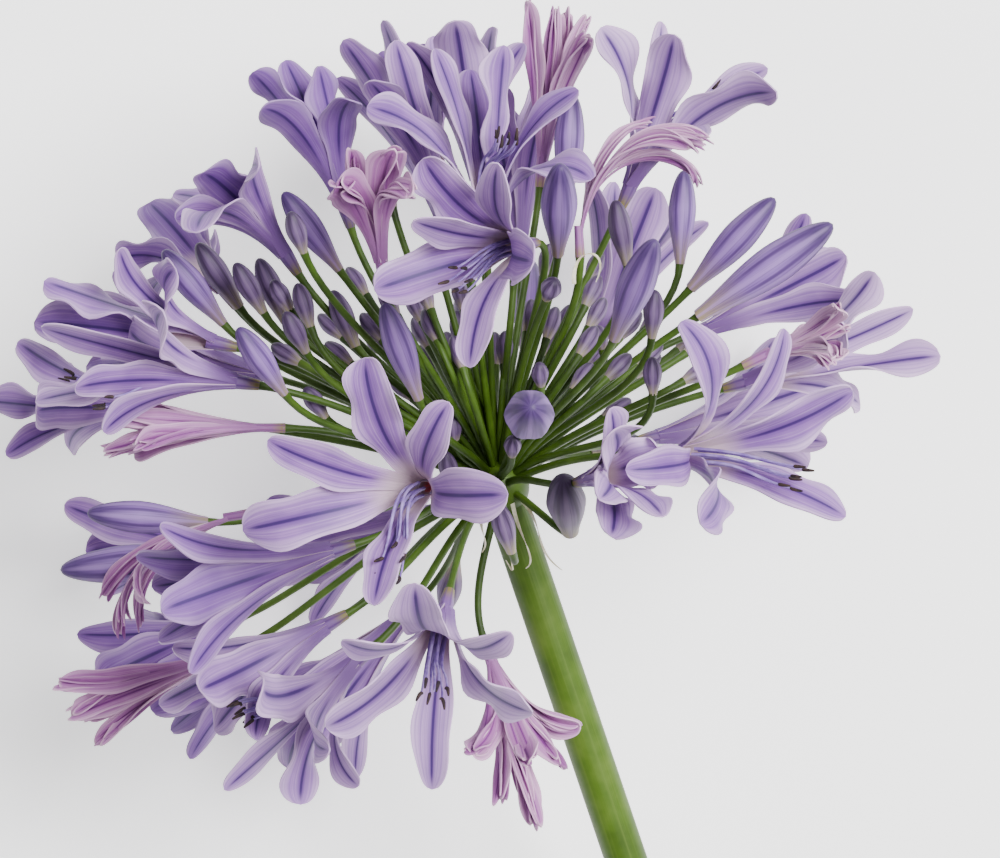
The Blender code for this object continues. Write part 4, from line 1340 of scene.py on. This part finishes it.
def make_bloom(form, petals, chance, skins):
    """A bloom's tepals, with loose strands between them if it is withered, its tube and its stamens."""
    faded = form.name.startswith("faded")
    twist = LIMP_TWIST if form.row.limp else FADED_TWIST if faded else OPEN_TWIST
    stiffness = 1 if form.row.limp else STIFF_ROLL
    bm = new_mesh()
    # Each bloom's tone is a random shift plus painted light and shade: darker the farther left of the hub it
    # sits, away from the key light, and lighter to the right.
    tone = chance.uniform(-TONE_SPREAD, TONE_SPREAD) - PAINTED_SHADE_SLOPE * (form.throat.x - HUB.x)
    for petal in petals:
        narrow = 0 if petal.cup > 0 else 1
        finish = Finish(
            root=ROOT_WIDTH[narrow],
            waist=TEPAL_WAIST + OPEN_WAIST * openness(form, petal),
            tip=TIP_POWER[narrow],
            ruffle=chance.uniform(*EDGE_RUFFLE[narrow]),
            waves=chance.uniform(*EDGE_WAVES),
            twist=chance.uniform(-1, 1) * twist + turn_to_view(petal),
            roll=chance.uniform(*FADED_ROLL) * stiffness if faded else 0.0,
            phase=chance.uniform(0, math.tau),
        )
        fine_tepal(bm, form, petal, finish, tone + chance.uniform(-TEPAL_TONE, TEPAL_TONE))
        for _ in range(WITHERED_STRANDS if faded else 0):
            root, *spots = petal.curve
            for index, spot in enumerate(spots):
                spots[index] = spot + Vector([chance.uniform(-STRAND_SHIFT, STRAND_SHIFT) for _ in range(3)])
            width, (ruffle, edge) = petal.half_width * STRAND_WIDTH, STRAND_RUFFLE
            strand = Petal((root, *spots), petal.side, width, STRAND_CUP, ruffle, petal.phase)
            turn, phase = chance.uniform(-STRAND_TWIST, STRAND_TWIST), chance.uniform(0, math.tau)
            loose = replace(finish, twist=turn, ruffle=edge, phase=phase)
            fine_tepal(bm, form, strand, loose, tone + chance.uniform(*STRAND_TONE))
    fine_tube(bm, form, tone)
    if form.row.anthers:
        fine_stamens(bm, form, chance, tone)
    piece("fine_" + form.name, bm, form.name, skins["wilting" if faded else "open"])


def fine_shred(bm, points):
    """A curled shred of the dry bract: a narrow ribbon through four points."""
    frames = run_of_frames(along_curve(points, SHRED_ROWS))

    def place_on(u, v):
        half = SHRED_WIDTH * (1 - SHRED_TAPER * v * v)
        side = turned(*frames[round(v * SHRED_ROWS)], SHRED_CURL * v)
        return curve_point(points, v) + side * (half * (2 * u - 1))

    thicken(bm, sheet(bm, SHRED_COLUMNS, SHRED_ROWS, place_on), SHRED_THICKNESS, BRACT_SKIN)


def stalk_girth(u, v):
    flute = 1 + math.cos(STALK_FLUTES * math.tau * u + STALK_FLUTE_TURN * v)
    return stalk_radius(v) * (1 - STALK_FLUTE * flute)


def pedicel_girth(_, v):
    swell = max((v - PEDICEL_COLLAR_FROM) / (1 - PEDICEL_COLLAR_FROM), 0)
    return pedicel_radius(v) * PEDICEL_SLIM + PEDICEL_COLLAR * swell


def make_stalk(small, curves, chance, skins):
    """The stalk, its knob, the flower stalks, the small buds and the papery remains of the bract."""
    bm = new_mesh()
    points = [HUB.lerp(STALK_END, row / STALK_ROWS) for row in range(STALK_ROWS + 1)]
    stalk = skin_round(bm, points, stalk_girth, STALK_COLUMNS)
    mark(bm, stalk, STALK_SKIN)
    bm.normal_update()
    mark(bm, [face for face in stalk if abs(face.normal.dot(STALK_DIRECTION)) > CUT_FACES], CUT_SKIN)
    knob = bmesh.ops.create_icosphere(
        bm, subdivisions=KNOB_SUBDIVISIONS, radius=HUB_RADIUS, matrix=Matrix.Translation(HUB)
    )
    mark(bm, {face for vert in knob["verts"] for face in vert.link_faces}, STALK_SKIN, KNOB_TONE)
    for curve in curves:
        tone = chance.uniform(0.0, PEDICEL_TONE)
        faces = skin_round(bm, along_curve(curve, PEDICEL_ROWS), pedicel_girth, PEDICEL_COLUMNS)
        mark(bm, faces, PEDICEL_SKIN, tone)
    for form in small:
        fine_bud(bm, form, SMALL_BUD_FOOT, SMALL_BUD_SKIN, chance.uniform(0.0, SMALL_BUD_TONE))
    for spots in BRACT_SHREDS:
        fine_shred(bm, [place(*spot) for spot in spots])
    piece("fine_stalk", bm, "stalk", skins["stalk"])


def make_camera():
    """Straight above the head, as the photograph sees it."""
    lens = bpy.data.cameras.new("camera")
    lens.sensor_width = SENSOR
    lens.lens = SENSOR * VIEW_HEIGHT / (VIEW_PIXELS * PIXEL)
    lens.clip_end = SEEN_TO
    spot = HUB + Vector((0, (HUB_DOWN - VIEW_DOWN) * PIXEL, VIEW_HEIGHT))
    bpy.context.scene.camera = show("camera", lens, spot)


def make_light(name, spot, size, power):
    """A square area light aimed at the head."""
    lamp = bpy.data.lights.new(name, "AREA")
    lamp.shape = "SQUARE"
    lamp.size = size
    lamp.energy = power
    aim = Vector(spot) - Vector(LIGHTS_AIM)
    show(name, lamp, spot).rotation_euler = aim.to_track_quat("Z", "Y").to_euler()


def make_studio():
    world = bpy.data.worlds.new("studio")
    world.use_nodes = True
    room = world.node_tree.nodes["Background"].inputs
    room["Color"].default_value = linear("#FFFFFF")
    room["Strength"].default_value = WORLD_LIGHT
    bpy.context.scene.world = world
    make_light("soft_key", KEY_PLACE, KEY_SIZE, KEY_LIGHT)
    make_light("soft_fill", FILL_PLACE, FILL_SIZE, FILL_LIGHT)
    bm = bmesh.new()
    bmesh.ops.create_grid(bm, x_segments=1, y_segments=1, size=FLOOR_HALF)
    # Matt white paper, lit from behind a little so that it stays even.
    glow = {"Emission_Color": linear("#FFFFFF"), "Emission_Strength": FLOOR_GLOW}
    paper = speckled_material("matt_white_paper", "#F6F6F6", "#F3F3F4", 3.0, 0.9, **glow)
    floor = show("floor", mesh_from("floor", bm, paper), (0, 0, FLOOR_HEIGHT))


def main():
    make_camera()
    make_studio()
    skins = make_skins()
    blooms, buds, small, curves, petals = lay_out()
    chance = random.Random(SEED_SKINS)
    for form in blooms:
        make_bloom(form, petals[form.name], chance, skins)
    for form in buds:
        bm = new_mesh()
        fine_bud(bm, form, BUD_FOOT, 0, chance.uniform(0.0, BUD_TONE))
        piece("fine_" + form.name, bm, form.name, skins["bud"])
    make_stalk(small, curves, chance, skins)


main()
